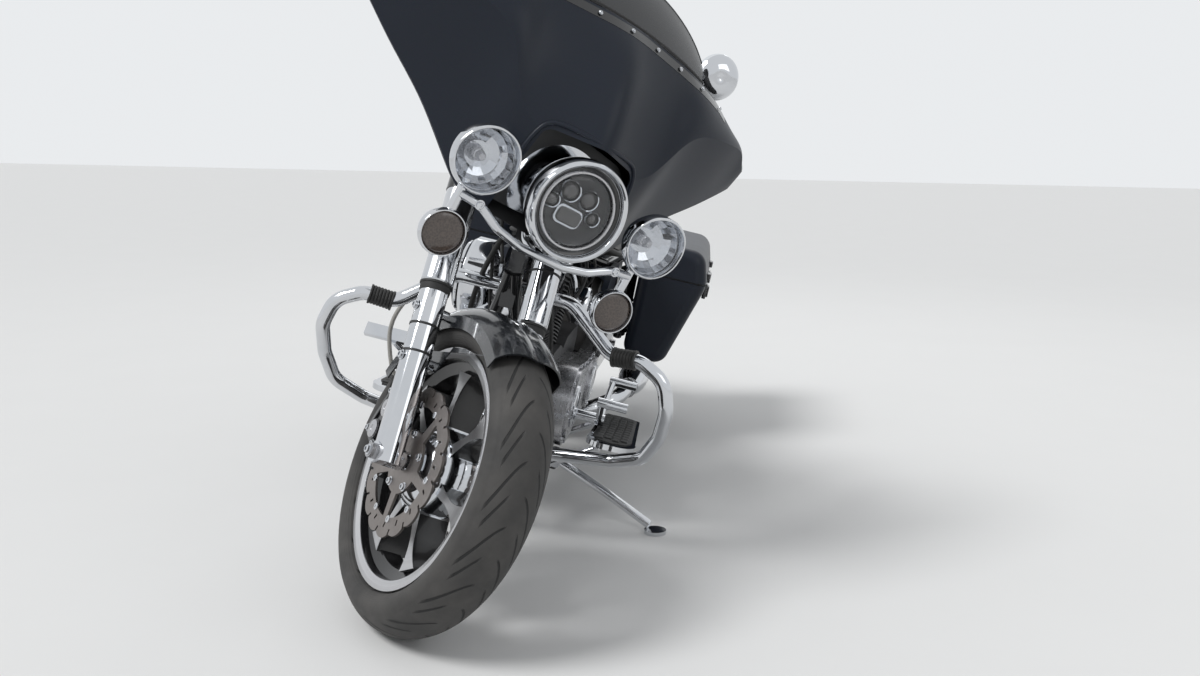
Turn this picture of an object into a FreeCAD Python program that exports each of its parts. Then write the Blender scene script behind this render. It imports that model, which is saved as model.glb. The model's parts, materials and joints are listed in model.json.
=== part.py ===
"""A touring cruiser motorcycle, parked on its side stand with the steering on its left stop.

The pieces are drawn on the upright motorcycle, in millimetres: x forward, y to the rider's left,
z up, with the origin on the floor midway between the two wheel contacts. The placements BIKE and
FORK then lean the motorcycle onto its stand and turn its front end.
"""
import FreeCAD, Part
import json
import math
import os

from FreeCAD import Placement, Rotation, Vector

doc = FreeCAD.newDocument("touring_motorcycle")

# Driving dimensions in millimetres and degrees.
SIZES = {
    # stance
    "wheelbase": 1613,
    "lean": 12.2,
    "steering_turn": 37.3,
    "steering_rake": 26,
    "trail": 170,
    "middle_forward": -78.3,
    "middle_left": 158.9,
    # wheels
    "axle_height": 320,
    "axle_radius": 12.5,
    "axle_bore_radius": 7,
    "axle_nut": 10,
    "running_gap": 0.08,
    "front_tyre_radius": 320,
    "front_tyre_half_width": 66,
    "front_crown_radius": 72,
    "front_rim_radius": 244,
    "front_rim_half_width": 52,
    "front_bead_radius": 229,
    "rear_tyre_radius": 320,
    "rear_tyre_half_width": 91,
    "rear_crown_radius": 104,
    "rear_rim_radius": 218,
    "rear_rim_half_width": 72,
    "rear_bead_radius": 203.5,
    "tyre_wall": 11,
    "spoke_count": 7,
    "spoke_thickness": 66,
    "spoke_width": 17,
    "hub_radius": 46,
    "front_hub_half_width": 74,
    "front_barrel_radius": 90,
    "rear_hub_half_width": 84,
    "front_disc_radius": 150,
    "rear_disc_radius": 146,
    "disc_thickness": 5,
    "disc_gap": 5,
    "pulley_radius": 105,
    "belt_width": 22,
    # fork
    "fork_angle": 29.25,
    "fork_half_spacing": 118,
    "slider_radius": 29,
    "slider_length": 350,
    "axle_boss_half": 30,
    "cover_radius": 33,
    "tube_radius": 20.5,
    "lower_yoke_along": 557,
    "lower_yoke_thickness": 36,
    "upper_yoke_along": 760,
    "upper_yoke_thickness": 30,
    "stem_radius": 14,
    "neck_radius": 30,
    "neck_end_gap": 9,
    "fender_gap": 8,
    "fender_thickness": 3.5,
    "fender_half_width": 76,
    "fender_start": 68,
    "fender_sweep": 98,
    "fender_skirt_radius": 276,
    "rear_fender_gap": 34,
    # lamps
    "headlamp_height": 897,
    "headlamp_front": 790,
    "headlamp_ring_radius": 101,
    "spot_radius": 64,
    "spot_half_spacing": 205,
    "spot_height": 902,
    "spot_front": 765,
    "signal_radius": 45,
    "signal_height": 744,
    "signal_front": 745,
    "lamp_bar_radius": 9,
    "arch_half_width": 122,
    "arch_top": 1020,
    "arch_clearance": 2,
    # fairing
    "fairing_wall": 5,
    "shield_wall": 4,
    # frame
    "backbone_radius": 26,
    "rail_radius": 14,
    "rail_half_spacing": 105,
    "guard_radius": 16,
    "sleeve_wall": 5,
    # engine
    "crank_forward": 110,
    "crank_height": 330,
    "cylinder_angle": 22.5,
    "case_half_width": 88,
    "fin_radius": 74,
    "fin_pitch": 9,
    "fin_count": 10,
    "barrel_radius": 54,
    "pushrod_radius": 11,
    "pipe_radius": 24,
    "muffler_radius": 48,
    "muffler_half_spacing": 262,
    "muffler_height": 252,
    "muffler_length": 690,
    "outlet_radius": 36,
    "outlet_depth": 90,
    "outlet_turn": 2,
    # luggage and controls
    "bag_wall": 4,
    "bag_length": 620,
    "bag_front": -560,
    "lid_gap": 5,
    "lid_hinge_aside": 197,
    "lid_hinge_height": 676,
    "lid_hinge_radius": 6,
    "handlebar_radius": 12.7,
    "mirror_stem_radius": 6,
    "grip_radius": 17.5,
    "grip_length": 128,
    "board_thickness": 14,
    "cable_radius": 5,
    "lever_radius": 8,
    "tunnel_radius": 36,
    "stand_radius": 11,
    "swing_tube_radius": 22,
    "pulley_inner_face": 100,
}

sheet = doc.addObject("Spreadsheet::Sheet", "sizes")
for row, (alias, value) in enumerate(SIZES.items(), 1):
    sheet.set(f"A{row}", alias)
    sheet.set(f"B{row}", str(value))
    sheet.setAlias(f"B{row}", alias)
doc.recompute()


def size(alias):
    return float(sheet.get(alias))


X, Y, Z = Vector(1, 0, 0), Vector(0, 1, 0), Vector(0, 0, 1)
FRONT_AXLE = Vector(size("wheelbase") / 2, 0, size("axle_height"))
REAR_AXLE = Vector(-size("wheelbase") / 2, 0, size("axle_height"))
RAKE = math.radians(size("steering_rake"))
STEER_AXIS = Vector(-math.sin(RAKE), 0, math.cos(RAKE))
STEER_FOOT = Vector(size("wheelbase") / 2 + size("trail"), 0, 0)
LEG_TURN = Rotation(Y, -size("fork_angle"))
LEG_AXIS = LEG_TURN.multVec(Z)


def steering_point(height):
    """The point of the steering axis at a height."""
    return STEER_FOOT + STEER_AXIS * (height / STEER_AXIS.z)


# The stance: the leaned motorcycle is pitched and lifted until both tyres touch the floor.
def tyre_bottom(stance, axle, radius, crown, turn):
    """How high a tyre's lowest point is, for a wheel whose rounded crown has that radius."""
    spin = stance.Rotation.multiply(turn).multVec(Y)
    centre = stance.multVec(axle)
    return centre.z - (radius - crown) * math.sqrt(1 - spin.z ** 2) - crown


def find_stance():
    steer = Placement(Vector(), Rotation(STEER_AXIS, size("steering_turn")), STEER_FOOT)
    pitch, lift = 0.0, 0.0
    for _ in range(30):
        tilt = Rotation(Y, pitch).multiply(Rotation(X, -size("lean")))
        stance = Placement(Vector(-size("middle_forward"), -size("middle_left"), lift), tilt)
        front = tyre_bottom(stance, steer.multVec(FRONT_AXLE), size("front_tyre_radius"),
                            size("front_crown_radius"), steer.Rotation)
        rear = tyre_bottom(stance, REAR_AXLE, size("rear_tyre_radius"), size("rear_crown_radius"), Rotation())
        lift -= (front + rear) / 2
        pitch += math.degrees((front - rear) / size("wheelbase"))
    return stance, stance.multiply(steer)


BIKE, FORK = find_stance()

BODIES = {"frame": [], "front_end": [], "front_wheel": [], "rear_wheel": [], "side_stand": [],
          "left_lid": [], "right_lid": []}
PIECES = []


def keep(obj, label, body):
    """Names a finished piece and gives it to a rigid body."""
    obj.Label = label
    PIECES.append(obj)
    BODIES[body].append(label)
    return obj


# Small helpers for the usual features.
def at(frame, point=Vector(), turn=Rotation()):
    return frame.multiply(Placement(Vector(*point), turn))


def outline(*stops):
    """Sketch geometry of a closed outline. A stop is (x, y), or (x1, y1, x2, y2) for an arc through
    the first point to the second."""
    geometry = []
    start = Vector(*stops[0][-2:], 0)
    last = start
    for stop in stops[1:] + (stops[0],):
        end = Vector(*stop[-2:], 0)
        if len(stop) == 4:
            geometry.append(Part.Arc(last, Vector(*stop[:2], 0), end))
        elif (end - last).Length > 1e-6:
            geometry.append(Part.LineSegment(last, end))
        last = end
    return geometry


def rounded_outline(*corners):
    """Sketch geometry of a closed polygon whose corners (x, y, radius) are rounded by tangent arcs."""
    points = [Vector(x, y, 0) for x, y, _ in corners]
    trims = []
    for n, (_, _, radius) in enumerate(corners):
        corner = points[n]
        back, on = points[n - 1] - corner, points[(n + 1) % len(points)] - corner
        half = (math.pi - back.getAngle(on)) / 2
        back.normalize()
        on.normalize()
        reach = radius * math.tan(half)
        middle = corner + (back + on).normalize() * (radius / math.cos(half) - radius)
        trims.append((corner + back * reach, middle, corner + on * reach))
    geometry = []
    for n, (start, middle, end) in enumerate(trims):
        geometry.append(Part.LineSegment(trims[n - 1][2], start))
        geometry.append(Part.Arc(start, middle, end))
    return geometry


def new_body(name, frame):
    body = doc.addObject("PartDesign::Body", name)
    body.Placement = frame
    return body


def sketch(body, plane, geometry, offset=0):
    """A sketch on one of the body's own planes: XY, XZ (normal -y) or YZ (normal +x)."""
    drawn = body.newObject("Sketcher::SketchObject", body.Name + "_sketch")
    origin = next(f for f in body.Origin.OriginFeatures if f.Role == plane + "_Plane")
    drawn.AttachmentSupport = (origin, [""])
    drawn.MapMode = "FlatFace"
    drawn.AttachmentOffset = Placement(Vector(0, 0, offset), Rotation())
    for edge in geometry:
        drawn.addGeometry(edge, False)
    return drawn


def ring(radius, x=0, y=0):
    return Part.Circle(Vector(x, y, 0), Z, radius)


def feature(body, kind, drawn, **settings):
    """A PartDesign feature on a sketch. A text setting is an expression."""
    made = body.newObject("PartDesign::" + kind, body.Name + "_" + kind.lower())
    if drawn is not None:
        made.Profile = drawn
        drawn.Visibility = False
    for name, value in settings.items():
        if isinstance(value, str) and name != "Type" and name != "SideType":
            made.setExpression(name, value)
        else:
            setattr(made, name, value)
    return made


def revolve(body, geometry, plane="YZ", axis="H_Axis", kind="Revolution", angle=360.0):
    drawn = sketch(body, plane, geometry)
    return feature(body, kind, drawn, ReferenceAxis=(drawn, [axis]), Angle=angle)


def primitive(kind, name, frame, **settings):
    made = doc.addObject("Part::" + kind, name)
    for key, value in settings.items():
        if isinstance(value, str):
            made.setExpression(key, value)
        else:
            setattr(made, key, value)
    made.Placement = frame
    return made


def cylinder(name, frame, start, end, radius):
    """A cylinder from start to end; its radius is a number or an expression."""
    start, end = Vector(*start), Vector(*end)
    turn = Rotation(Z, end - start)
    return primitive("Cylinder", name, at(frame, start, turn), Radius=radius, Height=(end - start).Length)


def box(name, frame, low, high, turn=Rotation()):
    low, high = Vector(*low), Vector(*high)
    span = high - low
    return primitive("Box", name, at(frame, low, turn), Length=span.x, Width=span.y, Height=span.z)


def fuse(name, *shapes):
    made = doc.addObject("Part::MultiFuse", name)
    made.Shapes = list(shapes)
    return made


def compound(name, *links):
    made = doc.addObject("Part::Compound", name)
    made.Links = list(links)
    return made


def cut(name, base, *tools):
    made = doc.addObject("Part::Cut", name)
    made.Base = base
    made.Tool = tools[0] if len(tools) == 1 else compound(name + "_tools", *tools)
    return made


def path_wire(points, bend):
    """Straight runs joined by tangent arcs of the bend radius, or less where a run is short."""
    points = [Vector(*p) for p in points]
    edges, last = [], points[0]
    for before, corner, after in zip(points, points[1:], points[2:]):
        back, on = (before - corner), (after - corner)
        half = (math.pi - back.getAngle(on)) / 2
        reach = min(bend * math.tan(half), 0.47 * back.Length, 0.47 * on.Length)
        back.normalize()
        on.normalize()
        start, end = corner + back * reach, corner + on * reach
        radius = reach / math.tan(half)
        inward = (back + on).normalize()
        middle = corner + inward * (radius / math.cos(half) - radius)
        edges += [Part.makeLine(last, start), Part.Arc(start, middle, end).toShape()]
        last = end
    edges.append(Part.makeLine(last, points[-1]))
    return Part.Wire(edges)


def tube(name, frame, points, radius, bend):
    """A round bar along a route; radius is an alias of the sheet."""
    spine = doc.addObject("Part::Feature", name + "_route")
    spine.Shape = path_wire(points, bend)
    spine.Placement = frame
    start, to = Vector(*points[0]), Vector(*points[1])
    section = primitive("Circle", name + "_section", at(frame, start, Rotation(Z, to - start)), Radius="sizes." + radius)
    swept = doc.addObject("Part::Sweep", name)
    swept.Sections = [section]
    swept.Spine = (spine, [f"Edge{n + 1}" for n in range(len(spine.Shape.Edges))])
    swept.Solid = True
    swept.Frenet = False
    return swept


def mirror_points(points):
    return [(x, -y, z) for x, y, z in points]


def loft(name, frame, wires, ruled=False):
    """A solid loft through closed wires."""
    made = doc.addObject("Part::Feature", name)
    made.Shape = Part.makeLoft(wires, True, ruled)
    made.Placement = frame
    return made


def closed_wire(plane, at_value, *stops):
    """A closed wire in the plane of 'y' or 'x' at a value. Stops are as in outline()."""
    place = (lambda a, b: Vector(a, at_value, b)) if plane == "y" else (lambda a, b: Vector(at_value, a, b))
    edges, last = [], place(*stops[0][-2:])
    for stop in stops[1:] + (stops[0],):
        end = place(*stop[-2:])
        if len(stop) == 4:
            edges.append(Part.Arc(last, place(*stop[:2]), end).toShape())
        elif (end - last).Length > 1e-6:
            edges.append(Part.makeLine(last, end))
        last = end
    return Part.Wire(edges)


def pair(label, body, make):
    """One piece for each side: make(name, side) is called for left, +1, and right, -1."""
    return keep(compound(label, make(label + "_left", 1), make(label + "_right", -1)), label, body)


# Wheels, each drawn about its own axle, with y along the axle.
def tyre(label, body, place, which):
    """A hollow tyre: a rounded crown, bulging walls and beads that sit inside the rim's flanges."""
    outer, half = size(which + "_tyre_radius"), size(which + "_tyre_half_width")
    crown, bead = size(which + "_crown_radius"), size(which + "_bead_radius")
    flange = size(which + "_rim_half_width") - 7.6
    rim, wall = size(which + "_rim_radius"), size("tyre_wall")
    lean_of_shoulder = math.radians(52)
    shoulder = (crown * math.sin(lean_of_shoulder), outer - crown + crown * math.cos(lean_of_shoulder))
    middle_radius = (rim + shoulder[1]) / 2
    piece = new_body(label, place)
    revolve(piece, outline(
        (-flange, bead), (-flange, rim + 2), (-half, middle_radius, -shoulder[0], shoulder[1]),
        (0, outer, shoulder[0], shoulder[1]), (half, middle_radius, flange, rim + 2), (flange, bead),
        (flange - wall, bead), (flange - wall, rim),
        (half - wall, middle_radius, shoulder[0] - wall, shoulder[1] - wall),
        (0, outer - wall, wall - shoulder[0], shoulder[1] - wall),
        (wall - half, middle_radius, wall - flange, rim), (wall - flange, bead)))
    return keep(piece, label, body)


def cast_wheel(label, body, place, which):
    """A cast wheel: a channel rim, deep narrow spokes that flare into it and a hub bored for the axle."""
    rim, half = size(which + "_rim_radius"), size(which + "_rim_half_width")
    bead, hub = size(which + "_bead_radius"), size("hub_radius")
    hub_half = size(which + "_hub_half_width")
    seat = half - 7.5
    bore = size("axle_radius") + size("running_gap")
    piece = new_body(label, place)
    well = bead - 22
    revolve(piece, outline(
        (-half, rim), (-seat, rim), (-seat, bead), (-seat + 16, bead), (-seat + 24, well), (seat - 24, well),
        (seat - 16, bead), (seat, bead), (seat, rim), (half, rim), (half, rim - 9), (half - 4, bead - 6),
        (seat - 14, bead - 9), (seat - 23, well - 9), (-seat + 23, well - 9), (-seat + 14, bead - 9),
        (-half + 4, bead - 6), (-half, rim - 9)))
    hub_sketch = sketch(piece, "XZ", [ring(hub)])
    feature(piece, "Pad", hub_sketch, Length=2 * hub_half, Midplane=True)
    if which == "front":
        barrel, end = size("front_barrel_radius"), hub_half - 12
        revolve(piece, outline((-end, hub - 8), (-end, hub + 4), (-end * 0.72, barrel - 13, 0, barrel),
                               (end * 0.72, barrel - 13, end, hub + 4), (end, hub - 8)))
    reach = well - 7
    narrow, wide = size("spoke_width") / 2, size("spoke_width") + 10
    spoke = sketch(piece, "XZ", outline(
        (hub - 10, -2 * narrow), (reach - 76, -narrow), (reach - 26, -narrow - 5, reach, -wide), (reach, wide),
        (reach - 26, narrow + 5, reach - 76, narrow), (hub - 10, 2 * narrow)))
    arm = feature(piece, "Pad", spoke, Length="sizes.spoke_thickness", Midplane=True)
    around = piece.newObject("PartDesign::PolarPattern", label + "_around")
    around.Originals = [arm]
    around.Axis = (spoke, ["N_Axis"])
    around.Angle = 360
    around.setExpression("Occurrences", "sizes.spoke_count")
    piece.Tip = around
    hole = sketch(piece, "XZ", [ring(bore)])
    feature(piece, "Pocket", hole, Type="ThroughAll", Midplane=True)
    return keep(piece, label, body)


def turned(points, angle):
    """Points of a sketch, (x, y) each, turned about its middle."""
    c, s = math.cos(angle), math.sin(angle)
    return [(x * c - y * s, x * s + y * c) for x, y in points]


def wavy_disc(name, frame, radius, side_face, thickness, hub, lobes=16):
    """A brake disc with a petal edge, two rows of slots and a carrier; its inner face is at side_face."""
    sign = 1 if side_face > 0 else -1
    piece = new_body(name, frame)
    middle = side_face + sign * thickness / 2
    pitch = 2 * math.pi / lobes
    trough, crest = (radius - 8, 0), (radius, 0)
    edges = []
    for n in range(lobes):
        stops = [turned([point], (n + share) * pitch)[0] for point, share in ((trough, -0.5), (crest, 0), (trough, 0.5))]
        edges.append(Part.Arc(*[Vector(*stop, 0) for stop in stops]))
    plate = sketch(piece, "XZ", edges + [ring(radius * 0.74)], offset=-middle)
    feature(piece, "Pad", plate, Length="sizes.disc_thickness", Midplane=True)
    arms = 5
    inner = sketch(piece, "XZ", [ring(hub + 18), ring(size("axle_radius") + 6)], offset=-middle)
    feature(piece, "Pad", inner, Length="sizes.disc_thickness", Midplane=True)
    arm = sketch(piece, "XZ", outline((hub, -12), (radius * 0.78, -8), (radius * 0.78, 8), (hub, 12)), offset=-middle)
    spoke = feature(piece, "Pad", arm, Length="sizes.disc_thickness", Midplane=True)
    around = piece.newObject("PartDesign::PolarPattern", name + "_arms")
    around.Originals = [spoke]
    around.Axis = (arm, ["N_Axis"])
    around.Angle = 360
    around.Occurrences = arms
    piece.Tip = around
    slot = [(0, -6), (11, -9), (12, -4), (1, -1)]
    for row, (share, turn) in enumerate(((0.79, 0), (0.885, pitch / 2))):
        corners = turned([(radius * share + x, y + 5) for x, y in slot], turn)
        window = sketch(piece, "XZ", outline(*corners), offset=-middle)
        hole = feature(piece, "Pocket", window, Type="ThroughAll", Midplane=True)
        slots = piece.newObject("PartDesign::PolarPattern", f"{name}_slots{row}")
        slots.Originals = [hole]
        slots.Axis = (window, ["N_Axis"])
        slots.Angle = 360
        slots.Occurrences = lobes
        piece.Tip = slots
    return piece


front_hub = at(FORK, FRONT_AXLE)
rear_hub = at(BIKE, REAR_AXLE)
tyre("front_tyre", "front_wheel", front_hub, "front")
cast_wheel("front_wheel_casting", "front_wheel", front_hub, "front")
pair("front_discs", "front_wheel", lambda name, side: wavy_disc(
    name, front_hub, size("front_disc_radius"), side * size("front_hub_half_width"), size("disc_thickness"),
    size("hub_radius")))
tyre("rear_tyre", "rear_wheel", rear_hub, "rear")
cast_wheel("rear_wheel_casting", "rear_wheel", rear_hub, "rear")
keep(wavy_disc("rear_disc", rear_hub, size("rear_disc_radius"), -size("rear_hub_half_width"),
               size("disc_thickness"), size("hub_radius")), "rear_disc", "rear_wheel")


def toothed_pulley(label, body, frame):
    radius, inner = size("pulley_radius"), size("pulley_inner_face")
    piece = new_body(label, frame)
    middle = inner + size("belt_width") / 2
    plate = sketch(piece, "XZ", [ring(radius), ring(size("axle_radius") + 6)], offset=-middle)
    feature(piece, "Pad", plate, Length="sizes.belt_width", Midplane=True)
    hub_face = size("rear_hub_half_width")
    boss = sketch(piece, "XZ", [ring(size("hub_radius")), ring(size("axle_radius") + 6)], offset=-(hub_face + inner) / 2)
    feature(piece, "Pad", boss, Length=inner - hub_face, Midplane=True)
    window = sketch(piece, "XZ", outline((50, -15), (88, -26), (88, 26), (50, 15)), offset=-middle)
    hole = feature(piece, "Pocket", window, Type="ThroughAll", Midplane=True)
    around = piece.newObject("PartDesign::PolarPattern", label + "_windows")
    around.Originals = [hole]
    around.Axis = (window, ["N_Axis"])
    around.Angle = 360
    around.Occurrences = 5
    piece.Tip = around
    return keep(piece, label, body)


toothed_pulley("rear_pulley", "rear_wheel", rear_hub)


# Front end, drawn with the steering straight.
def axle(label, body, frame, half_length, nut=15):
    """A hollow axle with a nut at each end."""
    piece = new_body(label, frame)
    rod, bore = size("axle_radius"), size("axle_bore_radius")
    end = half_length + size("axle_nut")
    revolve(piece, outline((-end, bore), (-end, nut), (-half_length, nut), (-half_length, rod),
                           (half_length, rod), (half_length, nut), (end, nut), (end, bore)))
    return keep(piece, label, body)


LEG_Y = size("fork_half_spacing")
AXLE_END = LEG_Y + size("axle_boss_half")


def leg_frame(side):
    return at(FORK, FRONT_AXLE + Y * (side * LEG_Y), LEG_TURN)


def slider(name, side):
    """A lower fork leg with its axle boss, caliper lug and fender lugs."""
    frame = leg_frame(side)
    leg = cylinder(name + "_leg", frame, (0, 0, -16), (0, 0, size("slider_length")), "sizes.slider_radius")
    boss = cylinder(name + "_boss", frame, (0, -size("axle_boss_half"), 0), (0, size("axle_boss_half"), 0), 21)
    lug = box(name + "_caliper_lug", frame, (-62, -24 if side > 0 else 2, 70), (-10, -2 if side > 0 else 24, 165))
    inner = -side * (LEG_Y - size("fender_half_width"))
    ears = [cylinder(f"{name}_ear{along}", frame, (0, 0, along), (0, inner, along), 11) for along in (195, 300)]
    solid = fuse(name + "_solid", leg, boss, lug, *ears)
    bore = cylinder(name + "_bore", frame, (0, -60, 0), (0, 60, 0), "sizes.axle_radius")
    return cut(name, solid, bore)


def fork_tube(name, side):
    """A fixed tube: a chrome sleeve above the slider, then the bare tube through both yokes."""
    piece = new_body(name, leg_frame(side))
    low, sleeve = size("slider_length"), size("lower_yoke_along")
    top = size("upper_yoke_along") + size("upper_yoke_thickness") + 8
    bare, cover = size("tube_radius"), size("cover_radius")
    revolve(piece, outline((0, low), (cover - 4, low), (cover, low + 8), (cover, sleeve), (bare, sleeve),
                           (bare, top), (bare - 4, top + 4), (0, top + 4)), plane="XZ", axis="V_Axis")
    return piece


def yoke(name, along, thickness):
    """A yoke: a plate with two leg clamps and the stem's boss, square to the legs."""
    frame = at(FORK, FRONT_AXLE + LEG_AXIS * along, LEG_TURN)
    to_stem = (steering_point((FRONT_AXLE + LEG_AXIS * along).z) - (FRONT_AXLE + LEG_AXIS * along)).dot(
        LEG_TURN.multVec(X))
    piece = new_body(name, frame)
    web = sketch(piece, "XY", outline(
        (6, -LEG_Y + 20), (6, LEG_Y - 20), (22, LEG_Y), (to_stem + 26, 34), (to_stem + 34, 0, to_stem + 26, -34), (22, -LEG_Y)))
    feature(piece, "Pad", web, Length="sizes." + thickness)
    clamps = sketch(piece, "XY", [ring(size("tube_radius") + 14, 0, LEG_Y)])
    feature(piece, "Pad", clamps, Length="sizes." + thickness)
    other = sketch(piece, "XY", [ring(size("tube_radius") + 14, 0, -LEG_Y)])
    feature(piece, "Pad", other, Length="sizes." + thickness)
    holes = sketch(piece, "XY", [ring(size("tube_radius"), 0, LEG_Y), ring(size("tube_radius"), 0, -LEG_Y)])
    feature(piece, "Pocket", holes, Type="ThroughAll", Midplane=True)
    return piece


axle("front_axle", "front_end", front_hub, AXLE_END)
pair("fork_sliders", "front_end", slider)
pair("fork_tubes", "front_end", fork_tube)
lower_yoke = yoke("lower_yoke", size("lower_yoke_along"), "lower_yoke_thickness")
upper_yoke = yoke("upper_yoke", size("upper_yoke_along"), "upper_yoke_thickness")


def face_height(along):
    """Where the steering axis crosses the plane square to the legs at a distance up the legs."""
    on_leg = FRONT_AXLE + LEG_AXIS * along
    share = (on_leg - STEER_FOOT).dot(LEG_AXIS) / STEER_AXIS.dot(LEG_AXIS)
    return STEER_FOOT + STEER_AXIS * share


NECK_LOW = face_height(size("lower_yoke_along") + size("lower_yoke_thickness"))
NECK_HIGH = face_height(size("upper_yoke_along"))
stem = cylinder("stem", FORK, NECK_LOW - STEER_AXIS * 20, NECK_HIGH + STEER_AXIS * 20, "sizes.stem_radius")
keep(fuse("fork_yokes", lower_yoke, upper_yoke, stem), "fork_yokes", "front_end")


def caliper(name, side):
    """A four-piston caliper astride its disc, behind the leg."""
    frame = leg_frame(side)
    disc = size("front_hub_half_width") + size("disc_thickness") / 2
    gap = size("disc_thickness") / 2 + size("disc_gap")
    inner, outer = disc - gap - 12, LEG_Y - 14
    low, high = sorted((side * inner - side * LEG_Y, side * outer - side * LEG_Y))
    turned = at(frame, Vector(), Rotation(Y, -50))
    block = box(name + "_block", turned, (-58, low, 98), (58, high, 174))
    pistons = [cylinder(f"{name}_piston{n}", turned, (n, side * (outer - LEG_Y), 128), (n, side * (outer - LEG_Y + 7), 128), 21)
               for n in (-27, 27)]
    slot_low, slot_high = sorted((side * (disc - gap - LEG_Y), side * (disc + gap - LEG_Y)))
    slot = cylinder(name + "_slot", frame, (0, slot_low, 0), (0, slot_high, 0), size("front_disc_radius") + size("disc_gap"))
    return cut(name, fuse(name + "_body", block, *pistons), slot, doc.getObject("fork_sliders"))


pair("front_calipers", "front_end", caliper)


def arched_fender(name, frame, inner, half, skirt, start, sweep):
    """A fender: an inverted U turned about the axle from a start angle, in degrees up from forward."""
    wall = size("fender_thickness")
    piece = new_body(name, at(frame, Vector(), Rotation(Y, -start)))
    edge = inner - 26
    drawn = sketch(piece, "XY", outline(
        (skirt, -half), (edge, -half), (inner + wall - 6, -half + 22, inner + wall, 0),
        (inner + wall - 6, half - 22, edge, half), (skirt, half), (skirt, half - wall), (edge, half - wall),
        (inner - 6, half - 24, inner, 0), (inner - 6, 24 - half, edge, wall - half), (skirt, wall - half)))
    feature(piece, "Revolution", drawn, ReferenceAxis=(drawn, ["V_Axis"]), Angle=float(sweep), Reversed=True)
    return piece


fender_shell = arched_fender("front_fender_shell", front_hub, size("front_tyre_radius") + size("fender_gap"),
                             size("fender_half_width"), size("fender_skirt_radius"), size("fender_start"),
                             size("fender_sweep"))
SIDE_PLATE = [(72, 290), (80, 262), (92, 248), (104, 238), (112, 200), (116, 182), (124, 182), (130, 208), (138, 252),
              (150, 290)]


def fender_tab(name, side):
    """The fender's side plate: its corners are an angle up from forward and a distance from the axle.
    It reaches down to the lower fender lug."""
    wall, half = size("fender_thickness"), size("fender_half_width")
    plate = new_body(name, front_hub)
    corners = [turned([(reach, 0)], math.radians(angle))[0] for angle, reach in SIDE_PLATE]
    drawn = sketch(plate, "XZ", outline(*corners), offset=-side * (half - wall / 2))
    feature(plate, "Pad", drawn, Length="sizes.fender_thickness", Midplane=True)
    return plate


keep(fuse("front_fender", fender_shell, fender_tab("left_tab", 1), fender_tab("right_tab", -1)), "front_fender",
     "front_end")

# Fairing. Each row is a section at one distance from the middle plane: the lower edge, the
# crease where the underside turns into the brow, the brow's bulge and the upper edge of the outer
# skin. Then come how much the underside bulges and how far back the inner skin reaches.
FAIRING_ROWS = [  # aside, low_x, low_z, crease_x, crease_z, brow_x, brow_z, top_x, top_z, bulge, inner_x
    (0, 700, 806, 774, 985, 722, 1140, 612, 1266, 20, 552),
    (45, 697, 806, 754, 987, 704, 1140, 609, 1265, 18, 552),
    (100, 680, 808, 720, 995, 676, 1142, 602, 1261, 14, 550),
    (165, 640, 816, 686, 1030, 652, 1150, 590, 1256, 10, 542),
    (215, 610, 856, 660, 1112, 634, 1188, 576, 1250, 4, 538),
    (300, 564, 938, 616, 1160, 592, 1202, 544, 1235, 2, 512),
    (390, 520, 1006, 564, 1172, 544, 1191, 508, 1202, 2, 490),
    (452, 490, 1056, 520, 1160, 507, 1172, 484, 1178, 1, 472),
    (488, 472, 1088, 490, 1138, 482, 1149, 470, 1156, 1, 462),
]


def fairing_stations():
    return [(-row[0],) + row[1:] for row in reversed(FAIRING_ROWS[1:])] + list(FAIRING_ROWS)


def outer_section(y, low_x, low_z, crease_x, crease_z, brow_x, brow_z, top_x, top_z, bulge, inner_x):
    wall = size("fairing_wall")
    under_x, under_z = (low_x + crease_x) / 2 + bulge, (low_z + crease_z) / 2
    return closed_wire("y", y, (low_x, low_z), (under_x, under_z, crease_x, crease_z), (brow_x, brow_z, top_x, top_z),
                       (top_x - wall, top_z), (brow_x - wall, brow_z, crease_x - wall, crease_z),
                       (under_x - wall, under_z, low_x - wall, low_z))


def inner_section(y, low_x, low_z, crease_x, crease_z, brow_x, brow_z, top_x, top_z, bulge, inner_x):
    wall, skin = size("fairing_wall"), 4
    low_x, top_x = low_x - wall, top_x - wall
    deepest = (low_z + top_z) / 2
    return closed_wire("y", y, (low_x, low_z), (inner_x, deepest, top_x, top_z), (top_x - skin, top_z),
                       (inner_x - skin, deepest, low_x - skin, low_z))


def arch_outline(inset, low_z):
    """The headlamp's arch: upright sides, rounded shoulders and a low crown."""
    half, top = size("arch_half_width") - inset, size("arch_top") - inset
    return rounded_outline((-half + 4, low_z, 2), (half - 4, low_z, 2), (half, top - 110, 60), (half - 14, top - 12, 26),
                           (0, top + 2, 120), (14 - half, top - 12, 26), (-half, top - 110, 60))


fairing_skin = loft("fairing_skin", FORK, [outer_section(*row) for row in fairing_stations()])
arch = new_body("headlamp_arch", FORK)
feature(arch, "Pad", sketch(arch, "YZ", arch_outline(0, 760), offset=620), Length=280.0)
keep(cut("fairing_shell", fairing_skin, arch), "fairing_shell", "front_end")
inner_skin = loft("fairing_inner", FORK, [inner_section(*row) for row in fairing_stations()])
keep(inner_skin, "fairing_inner", "front_end")


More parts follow.
